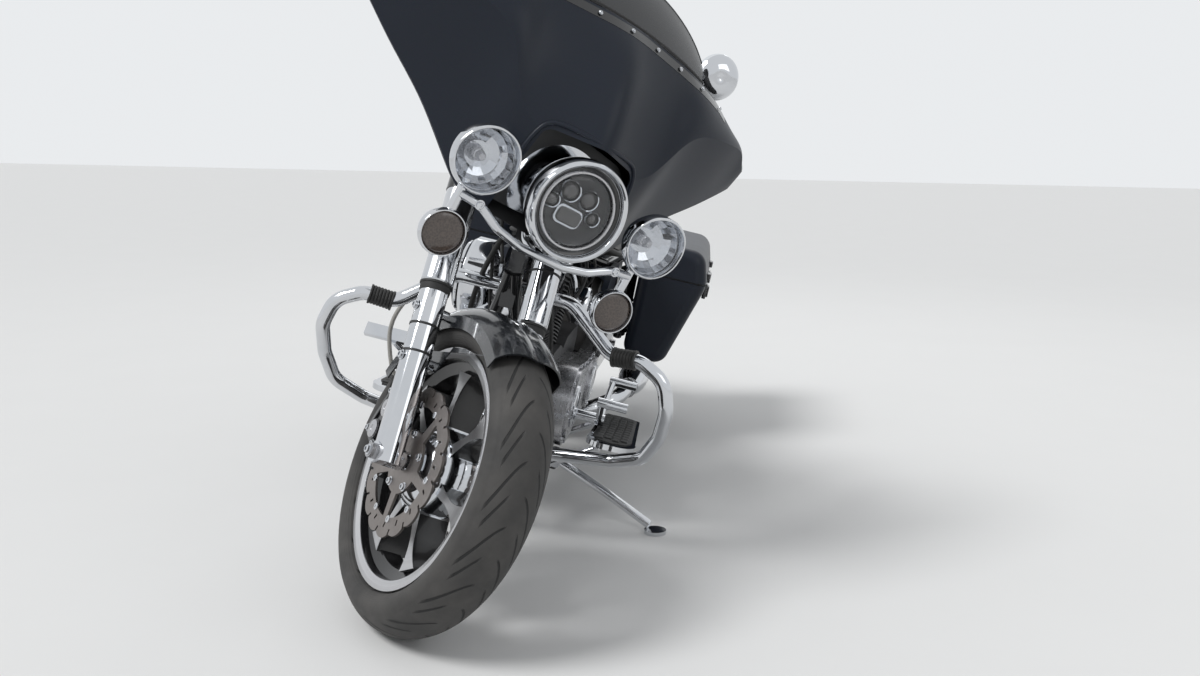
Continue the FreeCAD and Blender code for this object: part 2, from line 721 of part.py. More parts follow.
def shield_section(y):
    """The windshield stands on the fairing's upper edge and leans back."""
    aside = abs(y)
    wall = size("shield_wall")
    foot_x = 606 - 42 * (aside / 235) ** 2 - 2
    foot_z = 1266.5 - 17 * (aside / 235) ** 2
    rise = 100 * math.sqrt(max(0.04, 1 - (aside / 250) ** 2))
    return closed_wire("y", y, (foot_x, foot_z), (foot_x - 0.42 * rise, foot_z + 0.55 * rise,
                                                   foot_x - 0.9 * rise, foot_z + rise),
                       (foot_x - 0.9 * rise - wall, foot_z + rise),
                       (foot_x - 0.42 * rise - wall, foot_z + 0.55 * rise, foot_x - wall, foot_z))


keep(loft("windshield", FORK, [shield_section(y) for y in (-235, -190, -120, -60, 0, 60, 120, 190, 235)]),
     "windshield", "front_end")


# Lamps: each is a turned shell about its own forward axis, with the lens as another piece.
def lamp_shell(name, frame, front, y, z, radius, depth, lip, wall=3):
    piece = new_body(name, at(frame, Vector(front, y, z)))
    inner = radius - wall
    revolve(piece, outline((0, radius), (0, inner), (-lip, inner), (-lip - 4, inner - 4), (-depth * 0.62, inner * 0.7, -depth + 4, 3),
                           (-depth + 4, 0), (-depth, 0), (-depth, 3), (-depth * 0.68, radius * 0.72, -lip - 2, radius)), plane="XZ", axis="H_Axis")
    return piece


def lamp_lens(name, frame, front, y, z, radius, lip, wall=3, thick=4):
    piece = new_body(name, at(frame, Vector(front, y, z)))
    inner = radius - wall
    revolve(piece, outline((-lip, 0), (-lip, inner), (-lip + thick, inner), (-lip + thick + 4, inner / 2, -lip + thick + 6, 2),
                           (-lip + thick + 6, 0)),
            plane="XZ", axis="H_Axis")
    return piece


HEAD = (size("headlamp_front"), 0, size("headlamp_height"))
head_shell = lamp_shell("headlamp_shell", FORK, *HEAD, size("headlamp_ring_radius"), 125, 14, wall=13)
surround = new_body("headlamp_surround", FORK)
feature(surround, "Pad", sketch(surround, "YZ", arch_outline(size("arch_clearance"), 836), offset=668), Length=6.0)
surround_hole = cylinder("headlamp_surround_hole", FORK, (650, 0, HEAD[2]), (700, 0, HEAD[2]), 30)
keep(cut("headlamp", fuse("headlamp_body", head_shell, cut("headlamp_plate", surround, surround_hole)),
         doc.getObject("fairing_shell"), inner_skin), "headlamp", "front_end")


def spot_lamp(name, side):
    return lamp_shell(name, FORK, size("spot_front"), side * size("spot_half_spacing"), size("spot_height"),
                      size("spot_radius"), 78, 12)


def front_signal(name, side):
    return lamp_shell(name, FORK, size("signal_front"), side * size("spot_half_spacing"), size("signal_height"),
                      size("signal_radius"), 62, 8)


pair("spot_lamps", "front_end", spot_lamp)
pair("front_signals", "front_end", front_signal)
lenses = [lamp_lens("headlamp_lens", FORK, *HEAD, size("headlamp_ring_radius"), 14, wall=13)]
for side in (1, -1):
    y = side * size("spot_half_spacing")
    lenses.append(lamp_lens(f"spot_lens{side}", FORK, size("spot_front"), y, size("spot_height"), size("spot_radius"), 12))
    lenses.append(lamp_lens(f"signal_lens{side}", FORK, size("signal_front"), y, size("signal_height"),
                            size("signal_radius"), 8))
keep(compound("lamp_lenses", *lenses), "lamp_lenses", "front_end")

# The chrome bar under the headlamp carries the spot lamps and signals.
BAR_X = 738
half_bar = [(BAR_X - 8, 205, 824), (BAR_X, 160, 820), (BAR_X + 4, 108, 794), (BAR_X + 6, 50, 782)]
bar_route = half_bar + [(x, -y, z) for x, y, z in reversed(half_bar)]
bar = tube("lamp_bar_tube", FORK, bar_route, "lamp_bar_radius", 60)
posts = []
for side in (1, -1):
    y = side * size("spot_half_spacing")
    posts.append(cylinder(f"lamp_post{side}", FORK, (BAR_X - 12, y, size("signal_height") + 30),
                          (BAR_X - 12, y, size("spot_height") - 46), 10))
lower_point = FRONT_AXLE + LEG_AXIS * (size("lower_yoke_along") + size("lower_yoke_thickness") / 2)
arm = tube("lamp_bar_arm", FORK, [(BAR_X + 6, 0, 782), (650, 0, 790), (lower_point.x + 55, 0, lower_point.z + 30)],
           "lamp_bar_radius", 40)
bar_solid = fuse("lamp_bar_solid", bar, arm, *posts)
keep(cut("lamp_bar", bar_solid, doc.getObject("spot_lamps"), doc.getObject("front_signals"),
         doc.getObject("fork_yokes")), "lamp_bar", "front_end")

fairing_arms = [box(f"fairing_arm{side}", FORK, (560, 48 * side - 4, 880), (700, 48 * side + 4, 930)) for side in (1, -1)]
fairing_feet = [box(f"fairing_foot{side}", FORK, (560, 48 * side - 4, 850), (600, 48 * side + 4, 930)) for side in (1, -1)]
keep(cut("fairing_bracket", fuse("fairing_bracket_solid", *fairing_arms, *fairing_feet), inner_skin,
         doc.getObject("fork_yokes"), doc.getObject("headlamp")), "fairing_bracket", "front_end")

# Handlebar and what it carries.
BAR_CLAMP = (452, 1078)
GRIP_END = Vector(222, 428, 1088)
GRIP_START = Vector(330, 318, 1118)
bar_half = [(BAR_CLAMP[0], 78, BAR_CLAMP[1]), (424, 140, 1122), tuple(GRIP_START), tuple(GRIP_END)]
bar_points = mirror_points(reversed(bar_half)) + bar_half
handlebar = tube("handlebar_tube", FORK, bar_points, "handlebar_radius", 55)
risers = [box(f"riser{side}", at(FORK, FRONT_AXLE, LEG_TURN), (28, side * 44 - 14, size("upper_yoke_along") + 20),
              (66, side * 44 + 14, size("upper_yoke_along") + 88)) for side in (1, -1)]
keep(cut("handlebar", fuse("handlebar_solid", handlebar, *risers), doc.getObject("fork_yokes")), "handlebar", "front_end")


def grip(name, side):
    """A hollow grip on the bar's straight end."""
    end, start = Vector(GRIP_END), Vector(GRIP_START)
    along = (end - start).normalize()
    begin = end - along * (size("grip_length") - 6)
    stop = end + along * 6
    low = Vector(begin.x, begin.y * side, begin.z)
    high = Vector(stop.x, stop.y * side, stop.z)
    return cut(name, cylinder(name + "_outside", FORK, low, high, "sizes.grip_radius"), handlebar)


pair("grips", "front_end", grip)


def hand_control(name, side):
    """A lever on its perch, with a switch housing round the bar."""
    end, start = Vector(GRIP_END), Vector(GRIP_START)
    along = (end - start).normalize()

    def on_bar(back, ahead=0.0, up=0.0):
        p = end - along * back + Vector(ahead, 0, up)
        return Vector(p.x, p.y * side, p.z)

    gap = size("grip_length") + 2
    housing = cylinder(name + "_housing", FORK, on_bar(gap + 38), on_bar(gap), 24)
    perch = cylinder(name + "_perch", FORK, on_bar(gap + 30), on_bar(gap + 26, 52, -6), 11)
    lever = cylinder(name + "_lever", FORK, on_bar(gap + 34, 50, -6), on_bar(6, 44, -4), 6)
    reservoir = cylinder(name + "_reservoir", FORK, on_bar(gap + 20, 8, 10), on_bar(gap + 20, 12, 44), 19)
    solid = fuse(name + "_solid", housing, perch, lever, reservoir)
    return cut(name, solid, handlebar)


pair("hand_controls", "front_end", hand_control)

MIRROR = Vector(352, 388, 1305)


def mirror(name, side):
    """A round mirror on a stem that rises from the lever's perch."""
    centre = Vector(MIRROR.x, side * MIRROR.y, MIRROR.z)
    head = new_body(name + "_head", at(FORK, centre, Rotation(Z, side * -12)))
    revolve(head, outline((-9, 0), (-9, 50), (0, 54), (12, 46, 24, 2), (24, 0)), plane="XZ", axis="H_Axis")
    stem_route = [(312, side * 345, 1150), (306, side * 352, 1225), (MIRROR.x + 4, side * 386, MIRROR.z - 40)]
    return fuse(name, head, tube(name + "_stem", FORK, stem_route, "mirror_stem_radius", 30))


keep(cut("mirrors", compound("mirror_pair", mirror("left_mirror", 1), mirror("right_mirror", -1)),
         doc.getObject("hand_controls")), "mirrors", "front_end")

# Frame: neck, backbone, a gusset and a looped cradle, all one welded piece.
neck = cylinder("neck", BIKE, NECK_LOW + STEER_AXIS * size("neck_end_gap"), NECK_HIGH - STEER_AXIS * size("neck_end_gap"),
                "sizes.neck_radius")
backbone = tube("backbone", BIKE, [(526, 0, 924), (400, 0, 858), (120, 0, 790), (-90, 0, 705), (-200, 0, 640)],
                "backbone_radius", 160)
gusset = new_body("gusset", BIKE)
gusset_outline = sketch(gusset, "XZ", outline(
    (533, 880), (500, 950), (434, 906), (380, 862), (330, 825), (430, 740), (486, 615), (516, 615), (466, 846)))
feature(gusset, "Pad", gusset_outline, Length=32.0, Midplane=True)
RAIL_Y = size("rail_half_spacing")
cradles = []
for side in (1, -1):
    cradles.append(tube(f"cradle{side}", BIKE, [
        (506, side * 6, 690), (490, side * 18, 622), (404, side * 92, 330), (344, side * RAIL_Y, 172),
        (60, side * RAIL_Y, 166), (-290, side * RAIL_Y, 168), (-372, side * 66, 240), (-372, side * 66, 430),
        (-330, side * 84, 570), (-230, side * 60, 680), (-130, side * 8, 700)],
        "rail_radius", 70))
    cradles.append(tube(f"seat_rail{side}", BIKE, [
        (-120, side * 30, 690), (-330, side * 120, 640), (-620, side * 142, 640), (-900, side * 142, 622)], "rail_radius", 90))
cross_bars = [cylinder(f"cross_bar{n}", BIKE, (x, -RAIL_Y, z), (x, RAIL_Y, z), 13)
              for n, (x, z) in enumerate([(340, 176), (-280, 168)])]
pivot_plates = [box(f"pivot_plate{side}", BIKE, (-390, side * 66 - 7, 270), (-326, side * 66 + 7, 400)) for side in (1, -1)]
bag_mounts = [cylinder(f"bag_mount{side}", BIKE, (-640, side * 142, 640), (-640, side * 198, 590), 8) for side in (1, -1)]
STAND = Vector(150, 146, 196)
STAND_AXIS = Vector(0, 0.209, 0.978).normalize()
stand_post = cylinder("stand_post", BIKE, STAND - STAND_AXIS * 22, STAND + STAND_AXIS * 22, 8)
stand_ears = [cylinder(f"stand_ear{n}", BIKE, STAND + STAND_AXIS * (n * 22 - 3), STAND + STAND_AXIS * (n * 22 + 3), 15)
              for n in (1, -1)]
stand_web = box("stand_web", BIKE, (138, 100, 162), (162, 123, 224))
frame_solid = fuse("frame_solid", neck, backbone, gusset, *cradles, *cross_bars, *pivot_plates, *bag_mounts, stand_post,
                   *stand_ears, stand_web)
stem_bore = cylinder("stem_bore", BIKE, NECK_LOW - STEER_AXIS * 30, NECK_HIGH + STEER_AXIS * 30,
                     "sizes.stem_radius + sizes.running_gap")
PIVOT = Vector(-358, 0, 330)
pivot_bore = cylinder("pivot_bore", BIKE, PIVOT - Y * 100, PIVOT + Y * 100, "sizes.swing_tube_radius")
frame_tubes = keep(cut("frame_tubes", frame_solid, stem_bore, pivot_bore), "frame_tubes", "frame")


def stand_leg():
    """The side stand: an eye on the frame's pin, a bent leg and a flat foot."""
    eye = cylinder("stand_eye", BIKE, STAND - STAND_AXIS * 18, STAND + STAND_AXIS * 18, 19)
    leg = tube("stand_leg", BIKE, [tuple(STAND + Vector(8, 10, 0)), (205, 300, 158), (245, 420, 122)], "stand_radius", 120)
    foot_at = BIKE.multVec(Vector(248, 438, 107))
    foot = doc.addObject("Part::Cylinder", "stand_foot")
    foot.Radius, foot.Height = 27, 9
    foot.Placement = Placement(Vector(foot_at.x, foot_at.y, 0.4), Rotation())
    hole = cylinder("stand_hole", BIKE, STAND - STAND_AXIS * 40, STAND + STAND_AXIS * 40, 8 + size("running_gap"))
    return keep(cut("side_stand", fuse("stand_solid", eye, leg, foot), hole), "side_stand", "side_stand")


side_stand = stand_leg()

# Engine: a two-cylinder V on its crankcase, with the gearbox behind.
CRANK = Vector(size("crank_forward"), 0, size("crank_height"))
case_body = new_body("case_body", BIKE)
case_outline = sketch(case_body, "XZ", outline(
    (110, 204), (200, 240, 238, 330), (214, 418, 168, 462), (52, 462), (-20, 440), (-70, 462), (-270, 462), (-318, 420),
    (-318, 250), (-290, 204)))
feature(case_body, "Pad", case_outline, Length="2 * sizes.case_half_width", Midplane=True)
cam_chest = new_body("cam_chest", BIKE)
chest_outline = sketch(cam_chest, "XZ", outline(
    (110, 252), (190, 300, 176, 380), (150, 446), (70, 446), (44, 380), (30, 300, 110, 252)), offset=size("case_half_width") - 1)
feature(cam_chest, "Pad", chest_outline, Length=30.0)
gear_cover = new_body("gear_cover", BIKE)
gear_outline = sketch(gear_cover, "XZ", outline(
    (-60, 230), (-40, 330, -70, 430), (-180, 452, -280, 420), (-300, 330, -280, 236), (-180, 216, -60, 230)),
    offset=size("case_half_width") - 1)
feature(gear_cover, "Pad", gear_outline, Length=22.0)
keep(cut("crankcase", fuse("case_solid", case_body, cam_chest, gear_cover), frame_tubes), "crankcase", "frame")

CYLINDERS = (("front", 1), ("rear", -1))


def cylinder_frame(way):
    return at(BIKE, CRANK, Rotation(Y, way * size("cylinder_angle")))


def barrel(name, way):
    """One finned cylinder and head, drawn up the cylinder's own axis."""
    piece = new_body(name, cylinder_frame(way))
    core = sketch(piece, "XY", [ring(size("barrel_radius"))], offset=128)
    feature(piece, "Pad", core, Length=190.0)
    fin = sketch(piece, "XY", [ring(size("fin_radius"))], offset=146)
    plate = feature(piece, "Pad", fin, Length=3.4)
    stack = piece.newObject("PartDesign::LinearPattern", name + "_fins")
    stack.Originals = [plate]
    stack.Direction = (fin, ["N_Axis"])
    stack.setExpression("Length", "sizes.fin_pitch * (sizes.fin_count - 1)")
    stack.setExpression("Occurrences", "sizes.fin_count")
    piece.Tip = stack
    head = sketch(piece, "XY", outline((-62, -74), (62, -74), (76, -60), (76, 60), (62, 74), (-62, 74), (-76, 60), (-76, -60)),
                  offset=246)
    head_fin = feature(piece, "Pad", head, Length=4.0)
    rows = piece.newObject("PartDesign::LinearPattern", name + "_head_fins")
    rows.Originals = [head_fin]
    rows.Direction = (head, ["N_Axis"])
    rows.Length = 60
    rows.Occurrences = 6
    piece.Tip = rows
    block = sketch(piece, "XY", outline((-56, -64), (56, -64), (66, -54), (66, 54), (56, 64), (-56, 64), (-66, 54), (-66, -54)),
                   offset=246)
    feature(piece, "Pad", block, Length=76.0)
    return piece


barrels = fuse("barrels", *[barrel(name + "_cylinder", way) for name, way in CYLINDERS])


def rocker_box(name, way):
    """A rocker cover in three steps, each a little smaller."""
    piece = new_body(name, cylinder_frame(way))
    for base, height, half_x, half_y in ((322, 14, 80, 72), (336, 16, 74, 66), (352, 14, 64, 56)):
        step = sketch(piece, "XY", outline(
            (12 - half_x, -half_y), (half_x - 12, -half_y), (half_x - 3.5, 3.5 - half_y, half_x, 12 - half_y), (half_x, half_y - 12),
            (half_x - 3.5, half_y - 3.5, half_x - 12, half_y), (12 - half_x, half_y), (3.5 - half_x, half_y - 3.5, -half_x, half_y - 12),
            (-half_x, 12 - half_y), (3.5 - half_x, 3.5 - half_y, 12 - half_x, -half_y)), offset=base)
        feature(piece, "Pad", step, Length=float(height))
    return piece


keep(cut("rocker_boxes", compound("rocker_pair", *[rocker_box(name + "_rocker_box", way) for name, way in CYLINDERS]),
         frame_tubes), "rocker_boxes", "frame")
rods = []
for name, way in CYLINDERS:
    for n, (low_x, reach) in enumerate(((16, 26), (44, 62))):
        low = Vector(CRANK.x + way * low_x, -104, 440)
        top = at(Placement(), CRANK, Rotation(Y, way * size("cylinder_angle"))).multVec(
            Vector(way * (reach - 50), -62, 321.8))
        rods.append(cylinder(f"{name}_rod{n}", BIKE, low, top, "sizes.pushrod_radius"))
pushrods = compound("rod_set", *rods)
keep(cut("cylinders", barrels, pushrods, doc.getObject("crankcase")), "cylinders", "frame")
keep(cut("pushrod_tubes", pushrods, doc.getObject("crankcase"), doc.getObject("rocker_boxes")), "pushrod_tubes", "frame")

primary = new_body("primary_body", BIKE)
PRIMARY = [(110, 224), (186, 254, 218, 330), (186, 406, 110, 436), (-60, 412), (-226, 404), (-278, 382, -300, 330),
           (-278, 278, -226, 256), (-60, 240)]
main_outline = sketch(primary, "XZ", outline(*PRIMARY), offset=-(size("case_half_width") + 66))
feature(primary, "Pad", main_outline, Length=40.0)
neck_outline = sketch(primary, "XZ", outline((110, 226), (184, 256, 214, 330), (184, 404, 110, 434), (-150, 408), (-150, 252)),
                      offset=-(size("case_half_width") + 26))
feature(primary, "Pad", neck_outline, Length=26.0)


def shrunk(points, share, middle_x, middle_z):
    return [tuple((middle_x if n % 2 == 0 else middle_z) + (v - (middle_x if n % 2 == 0 else middle_z)) * share
                  for n, v in enumerate(p)) for p in points]


raised = sketch(primary, "XZ", outline(*shrunk(PRIMARY, 0.9, -30, 330)), offset=-(size("case_half_width") + 74))
feature(primary, "Pad", raised, Length=12.0)
derby = sketch(primary, "XZ", [ring(72, -178, 330)], offset=-(size("case_half_width") + 82))
feature(primary, "Pad", derby, Length=10.0)
keep(cut("primary_cover", primary, frame_tubes), "primary_cover", "frame")

filter_body = new_body("air_filter", at(BIKE, (110, 0, 590)))
revolve(filter_body, outline((-96, 0), (-96, 60), (-112, 96), (-122, 104), (-164, 104), (-174, 96), (-182, 82), (-182, 0)))
snout = cylinder("intake", BIKE, (110, -97, 590), (110, -20, 575), 26)
keep(cut("air_cleaner", fuse("air_cleaner_solid", filter_body, snout), doc.getObject("cylinders"),
         doc.getObject("rocker_boxes"), doc.getObject("pushrod_tubes")), "air_cleaner", "frame")

# Exhaust.
OUT_Y, OUT_Z = size("muffler_half_spacing"), size("muffler_height")
front_pipe = tube("front_pipe", BIKE, [(296, -40, 566), (352, -92, 540), (352, -170, 420), (300, -196, 222), (120, -200, 192),
                                       (-300, -200, 196), (-430, -228, 236), (-570, -OUT_Y, OUT_Z)], "pipe_radius", 80)
rear_pipe = tube("rear_pipe", BIKE, [(-62, -40, 556), (-130, -80, 520), (-150, -150, 400), (-210, -196, 240), (-330, -206, 204)],
                 "pipe_radius", 70)
cross_pipe = tube("cross_pipe", BIKE, [(-300, -196, 196), (-392, -120, 176), (-418, 20, 172), (-400, 160, 186), (-450, 236, 232),
                                       (-570, OUT_Y, OUT_Z)], "pipe_radius", 80)


def muffler_frame(side):
    return at(BIKE, (-560, side * OUT_Y, OUT_Z), Rotation(Y, 1.2))


def outlet_frame(side):
    """The middle of an outlet's mouth. Its x runs into the muffler, and the outlet points a little down."""
    return at(muffler_frame(side), (-size("muffler_length"), 0, 0), Rotation(Y, -size("outlet_turn")))


def muffler(name, side):
    """A long round muffler with a tapered front and a rolled band, its outlet bored a little downwards."""
    shell = new_body(name + "_shell", muffler_frame(side))
    r, end = size("muffler_radius"), -size("muffler_length")
    revolve(shell, outline((0, 0), (0, size("pipe_radius") + 4), (-60, r - 6, -120, r), (end + 60, r),
                           (end + 57, r + 2.5), (end + 30, r + 2.5), (end + 27, r), (end + 6, r - 1),
                           (end, r - 6), (end, 0)), plane="XZ", axis="H_Axis")
    bore = cylinder(name + "_outlet", outlet_frame(side), (-10, 0, 0), (size("outlet_depth"), 0, 0),
                    "sizes.outlet_radius")
    return cut(name, shell, bore)


pair("mufflers", "frame", muffler)
keep(cut("exhaust_pipes", fuse("pipe_solid", front_pipe, rear_pipe, cross_pipe), doc.getObject("cylinders"),
         doc.getObject("mufflers"), frame_tubes, doc.getObject("crankcase")), "exhaust_pipes", "frame")

# Fuel tank: half width, underside, shoulder and crown heights of each section.
TANK_ROWS = [  # along, half_width, low_z, side_z, top_z
    (372, 54, 818, 852, 898),
    (320, 102, 782, 846, 942),
    (210, 152, 752, 842, 984),
    (70, 160, 744, 826, 984),
    (-50, 138, 742, 808, 946),
    (-140, 96, 740, 786, 884),
]


def tank_section(along, half, low, middle, top):
    return closed_wire("x", along, (-half * 0.72, low), (half * 0.72, low), (half * 0.97, low + 14, half, middle),
                       (half * 0.80, middle + (top - middle) * 0.80, 0, top),
                       (-half * 0.80, middle + (top - middle) * 0.80, -half, middle), (-half * 0.97, low + 14, -half * 0.72, low))


tank_solid = loft("tank_solid", BIKE, [tank_section(*row) for row in TANK_ROWS])
tunnel = tube("tank_tunnel", BIKE, [(560, 0, 906), (400, 0, 852), (120, 0, 784), (-90, 0, 699), (-200, 0, 634)], "tunnel_radius", 160)
tunnel_foot = loft("tunnel_foot", BIKE, [closed_wire("x", x, (-34, z - 140), (34, z - 140), (34, z), (-34, z))
                                         for x, z in ((440, 862), (120, 784), (-150, 700))], ruled=True)
keep(cut("fuel_tank", tank_solid, tunnel, tunnel_foot), "fuel_tank", "frame")
CONSOLE = [(296, 30, 954), (210, 46, 984), (70, 52, 984), (-50, 48, 946), (-118, 34, 900)]
console_solid = loft("console_solid", BIKE, [closed_wire("x", x, (-half, z - 30), (half, z - 30), (half * 0.7, z + 8, 0, z + 13),
                                                        (-half * 0.7, z + 8, -half, z - 30)) for x, half, z in CONSOLE])
cap = cylinder("fuel_cap", BIKE, (96, 0, 980), (97, 0, 1010), 36)
keep(cut("tank_console", fuse("console_with_cap", console_solid, cap), tank_solid), "tank_console", "frame")

SEAT_ROWS = [  # along, half_width, low_z, shoulder_z, top_z
    (-112, 62, 716, 742, 756),
    (-190, 120, 690, 716, 732),
    (-300, 168, 668, 694, 706),
    (-420, 182, 664, 706, 722),
    (-480, 172, 672, 744, 772),
    (-620, 152, 684, 750, 780),
    (-760, 112, 700, 738, 758),
]


def seat_section(along, half, low, shoulder, top):
    return closed_wire("x", along, (-half * 0.9, low), (half * 0.9, low), (half, (low + shoulder) / 2, half * 0.93, shoulder),
                       (half * 0.5, top - 2, 0, top), (-half * 0.5, top - 2, -half * 0.93, shoulder),
                       (-half, (low + shoulder) / 2, -half * 0.9, low))


seat_solid = loft("seat_solid", BIKE, [seat_section(*row) for row in SEAT_ROWS])
keep(cut("seat", seat_solid, tank_solid, console_solid, frame_tubes), "seat", "frame")

# Rear fender, with its side skirts inside the bags.
rear_fender_shell = arched_fender("rear_fender_shell", rear_hub, size("rear_tyre_radius") + size("rear_fender_gap"), 120,
                                  250, 44, 138)
keep(cut("rear_fender", rear_fender_shell, frame_tubes), "rear_fender", "frame")


def bag_solid(name, side, inset):
    """A saddlebag's outer form, or its hollow when inset by the wall: a rounded profile along x."""
    t = inset
    front, back = size("bag_front") - t, size("bag_front") - size("bag_length") + t
    piece = new_body(name, BIKE)
    s = side
    profile = sketch(piece, "YZ", rounded_outline(
        (s * (212 + t), 340 + t, 44 - t), (s * (342 - t), 340 + t, 44 - t), (s * (420 - t), 612, 90),
        (s * (392 - t), 712 - t, 50 - t), (s * (206 + t), 712 - t, 44 - t)), offset=back)
    feature(piece, "Pad", profile, Length=front - back)
    return piece


for side, which in ((1, "left"), (-1, "right")):
    bag_solid(which + "_bag_outside", side, 0)
    bag_solid(which + "_bag_inside", side, size("bag_wall"))
doc.recompute()


def rounded_ends(name, piece, radius):
    """Rounds the two end faces' edges."""
    made = doc.addObject("Part::Fillet", name)
    made.Base = piece
    box_of = piece.Shape.copy()
    box_of.Placement = piece.Placement.inverse().multiply(box_of.Placement)
    span = box_of.BoundBox
    ends = []
    for n, edge in enumerate(box_of.Edges, 1):
        b = edge.BoundBox
        if b.XLength < 1e-3 and (abs(b.XMin - span.XMin) < 1e-3 or abs(b.XMax - span.XMax) < 1e-3):
            ends.append((n, radius, radius))
    made.Edges = ends
    return made


HINGE_Y, HINGE_Z = size("lid_hinge_aside"), size("lid_hinge_height")
KNUCKLES = (-760, -1010)
KNUCKLE_LENGTH = 16


# The webs of the lid's half and of the bag's half: two distances aside and two heights each. The bag's
# half stands clear of the lid on the inner side.
LID_WEBS = [(HINGE_Y - 2, 211, HINGE_Z - 12, HINGE_Z + 6)]
BAG_WEBS = [(HINGE_Y - 6, HINGE_Y - 2, 585, HINGE_Z), (HINGE_Y - 6, 212, 585, 600)]


def hinge_half(name, side, x, webs):
    """One half of a lid hinge: a round knuckle along x and the webs that hold it."""
    barrel = cylinder(name + "_barrel", BIKE, (x, side * HINGE_Y, HINGE_Z), (x + KNUCKLE_LENGTH, side * HINGE_Y, HINGE_Z),
                      "sizes.lid_hinge_radius")
    plates = [box(f"{name}_web{n}", BIKE, (x, min(side * a, side * b), low), (x + KNUCKLE_LENGTH, max(side * a, side * b), high))
              for n, (a, b, low, high) in enumerate(webs)]
    return [barrel, *plates]


bags = []
for which, side in (("left", 1), ("right", -1)):
    outside = rounded_ends(which + "_bag_form", doc.getObject(which + "_bag_outside"), 34)
    inside = rounded_ends(which + "_bag_hollow", doc.getObject(which + "_bag_inside"), 30)
    split = 612
    low_box = box(which + "_low_half", BIKE, (-1300, -500, split), (-400, 500, 900))
    high_box = box(which + "_high_half", BIKE, (-1300, -500, 200), (-400, 500, split + size("lid_gap")))
    arms, knuckles = [], []
    for n, x in enumerate(KNUCKLES):
        arms += hinge_half(f"{which}_bag_hinge{n}", side, x, BAG_WEBS)
        knuckles += hinge_half(f"{which}_lid_hinge{n}", side, x + KNUCKLE_LENGTH + 0.5, LID_WEBS)
    lower, upper = cut(which + "_bag_shell", outside, inside, low_box), cut(which + "_lid_shell", outside, inside, high_box)
    bags.append(cut(which + "_bag", fuse(which + "_bag_solid", lower, *arms), inside))
    keep(cut(which + "_lid", fuse(which + "_lid_solid", upper, *knuckles), inside), which + "_lid", which + "_lid")
keep(compound("saddlebags", *bags), "saddlebags", "frame")

# Covers, guards, boards and pedals.
side_panels = []
for side in (1, -1):
    panel = new_body(f"side_panel{side}", BIKE)
    drawn = sketch(panel, "XZ", outline((-196, 640), (-150, 560, -168, 486), (-340, 486), (-392, 560, -384, 646)),
                   offset=-side * 148 - 8)
    feature(panel, "Pad", drawn, Length=16.0)
    side_panels.append(panel)
keep(cut("side_covers", compound("panel_pair", *side_panels), frame_tubes, seat_solid), "side_covers", "frame")

GUARD_HALF = [(458, 0, 650), (458, 132, 650), (466, 188, 606), (486, 248, 561), (504, 312, 570), (514, 372, 540),
              (508, 392, 478), (462, 390, 404), (430, 366, 338), (400, 300, 304), (372, 190, 280), (350, 112, 262)]
guard_points = mirror_points(reversed(GUARD_HALF[1:])) + GUARD_HALF[1:]
guard_bar = tube("guard_bar", BIKE, guard_points, "guard_radius", 60)
guard_clamps = [cylinder(f"guard_clamp{side}", BIKE, (380, side * 96, 270), (358, side * 126, 268), 22) for side in (1, -1)]
keep(cut("engine_guard", fuse("guard_solid", guard_bar, *guard_clamps), frame_tubes, doc.getObject("crankcase")), "engine_guard",
     "frame")


def sleeve(name, side):
    """A wrapped sleeve over the guard's upper outer stretch."""
    run = GUARD_HALF[3:5] if side > 0 else mirror_points(GUARD_HALF[3:5])
    low, high = Vector(*run[0]), Vector(*run[1])
    low += (high - low) * 0.05
    return cylinder(name, BIKE, low, low + (high - low) * 0.8, size("guard_radius") + size("sleeve_wall"))


keep(cut("guard_sleeves", compound("sleeve_pair", sleeve("left_sleeve", 1), sleeve("right_sleeve", -1)), guard_bar),
     "guard_sleeves", "frame")


def floorboard(name, side):
    """A long board with a rounded front and its two brackets."""
    piece = new_body(name, at(BIKE, (0, side * 278, 262), Rotation(Y, -3)))
    drawn = sketch(piece, "XY", outline((-110, -52), (170, -60), (222, -44, 232, 0), (222, 44, 170, 60), (-110, 52), (-124, 0, -110, -52)))
    feature(piece, "Pad", drawn, Length="sizes.board_thickness")
    return piece


boards = [floorboard("left_board", 1), floorboard("right_board", -1)]
hangers = []
for n, x in enumerate((-100, 200)):
    hangers.append(cylinder(f"left_hanger{n}", BIKE, (x, RAIL_Y + 4, 174), (x, 252, 266), 9))
    hangers.append(cylinder(f"right_hanger{n}", BIKE, (x, -80, 254), (x, -252, 264), 9))
keep(cut("floorboards", fuse("board_solid", *boards, *hangers), frame_tubes, doc.getObject("exhaust_pipes"),
         doc.getObject("crankcase")), "floorboards", "frame")

brake_arm = tube("brake_arm", BIKE, [(90, -236, 300), (150, -250, 340), (214, -300, 402)], "lever_radius", 40)
brake_pad = box("brake_pad", at(BIKE, (230, -318, 422), Rotation(Y, -38)), (-8, -54, -16), (8, 54, 16))
brake_hub = cylinder("brake_hub", BIKE, (90, -180, 300), (90, -246, 300), 16)
shift_arm = tube("shift_arm", BIKE, [(238, 236, 388), (150, 232, 330), (90, 232, 306), (10, 232, 330), (-66, 236, 372)], "lever_radius", 40)
shift_pegs = [cylinder(f"shift_peg{n}", BIKE, (x, 226, z), (x, 300, z), 12) for n, (x, z) in enumerate(((240, 390), (-68, 374)))]
shift_hub = cylinder("shift_hub", BIKE, (90, 160, 306), (90, 244, 306), 15)
keep(cut("foot_controls", fuse("foot_solid", brake_arm, brake_pad, brake_hub, shift_arm, *shift_pegs, shift_hub), frame_tubes,
         doc.getObject("exhaust_pipes"), doc.getObject("primary_cover"), doc.getObject("crankcase"), doc.getObject("floorboards")),
     "foot_controls", "frame")

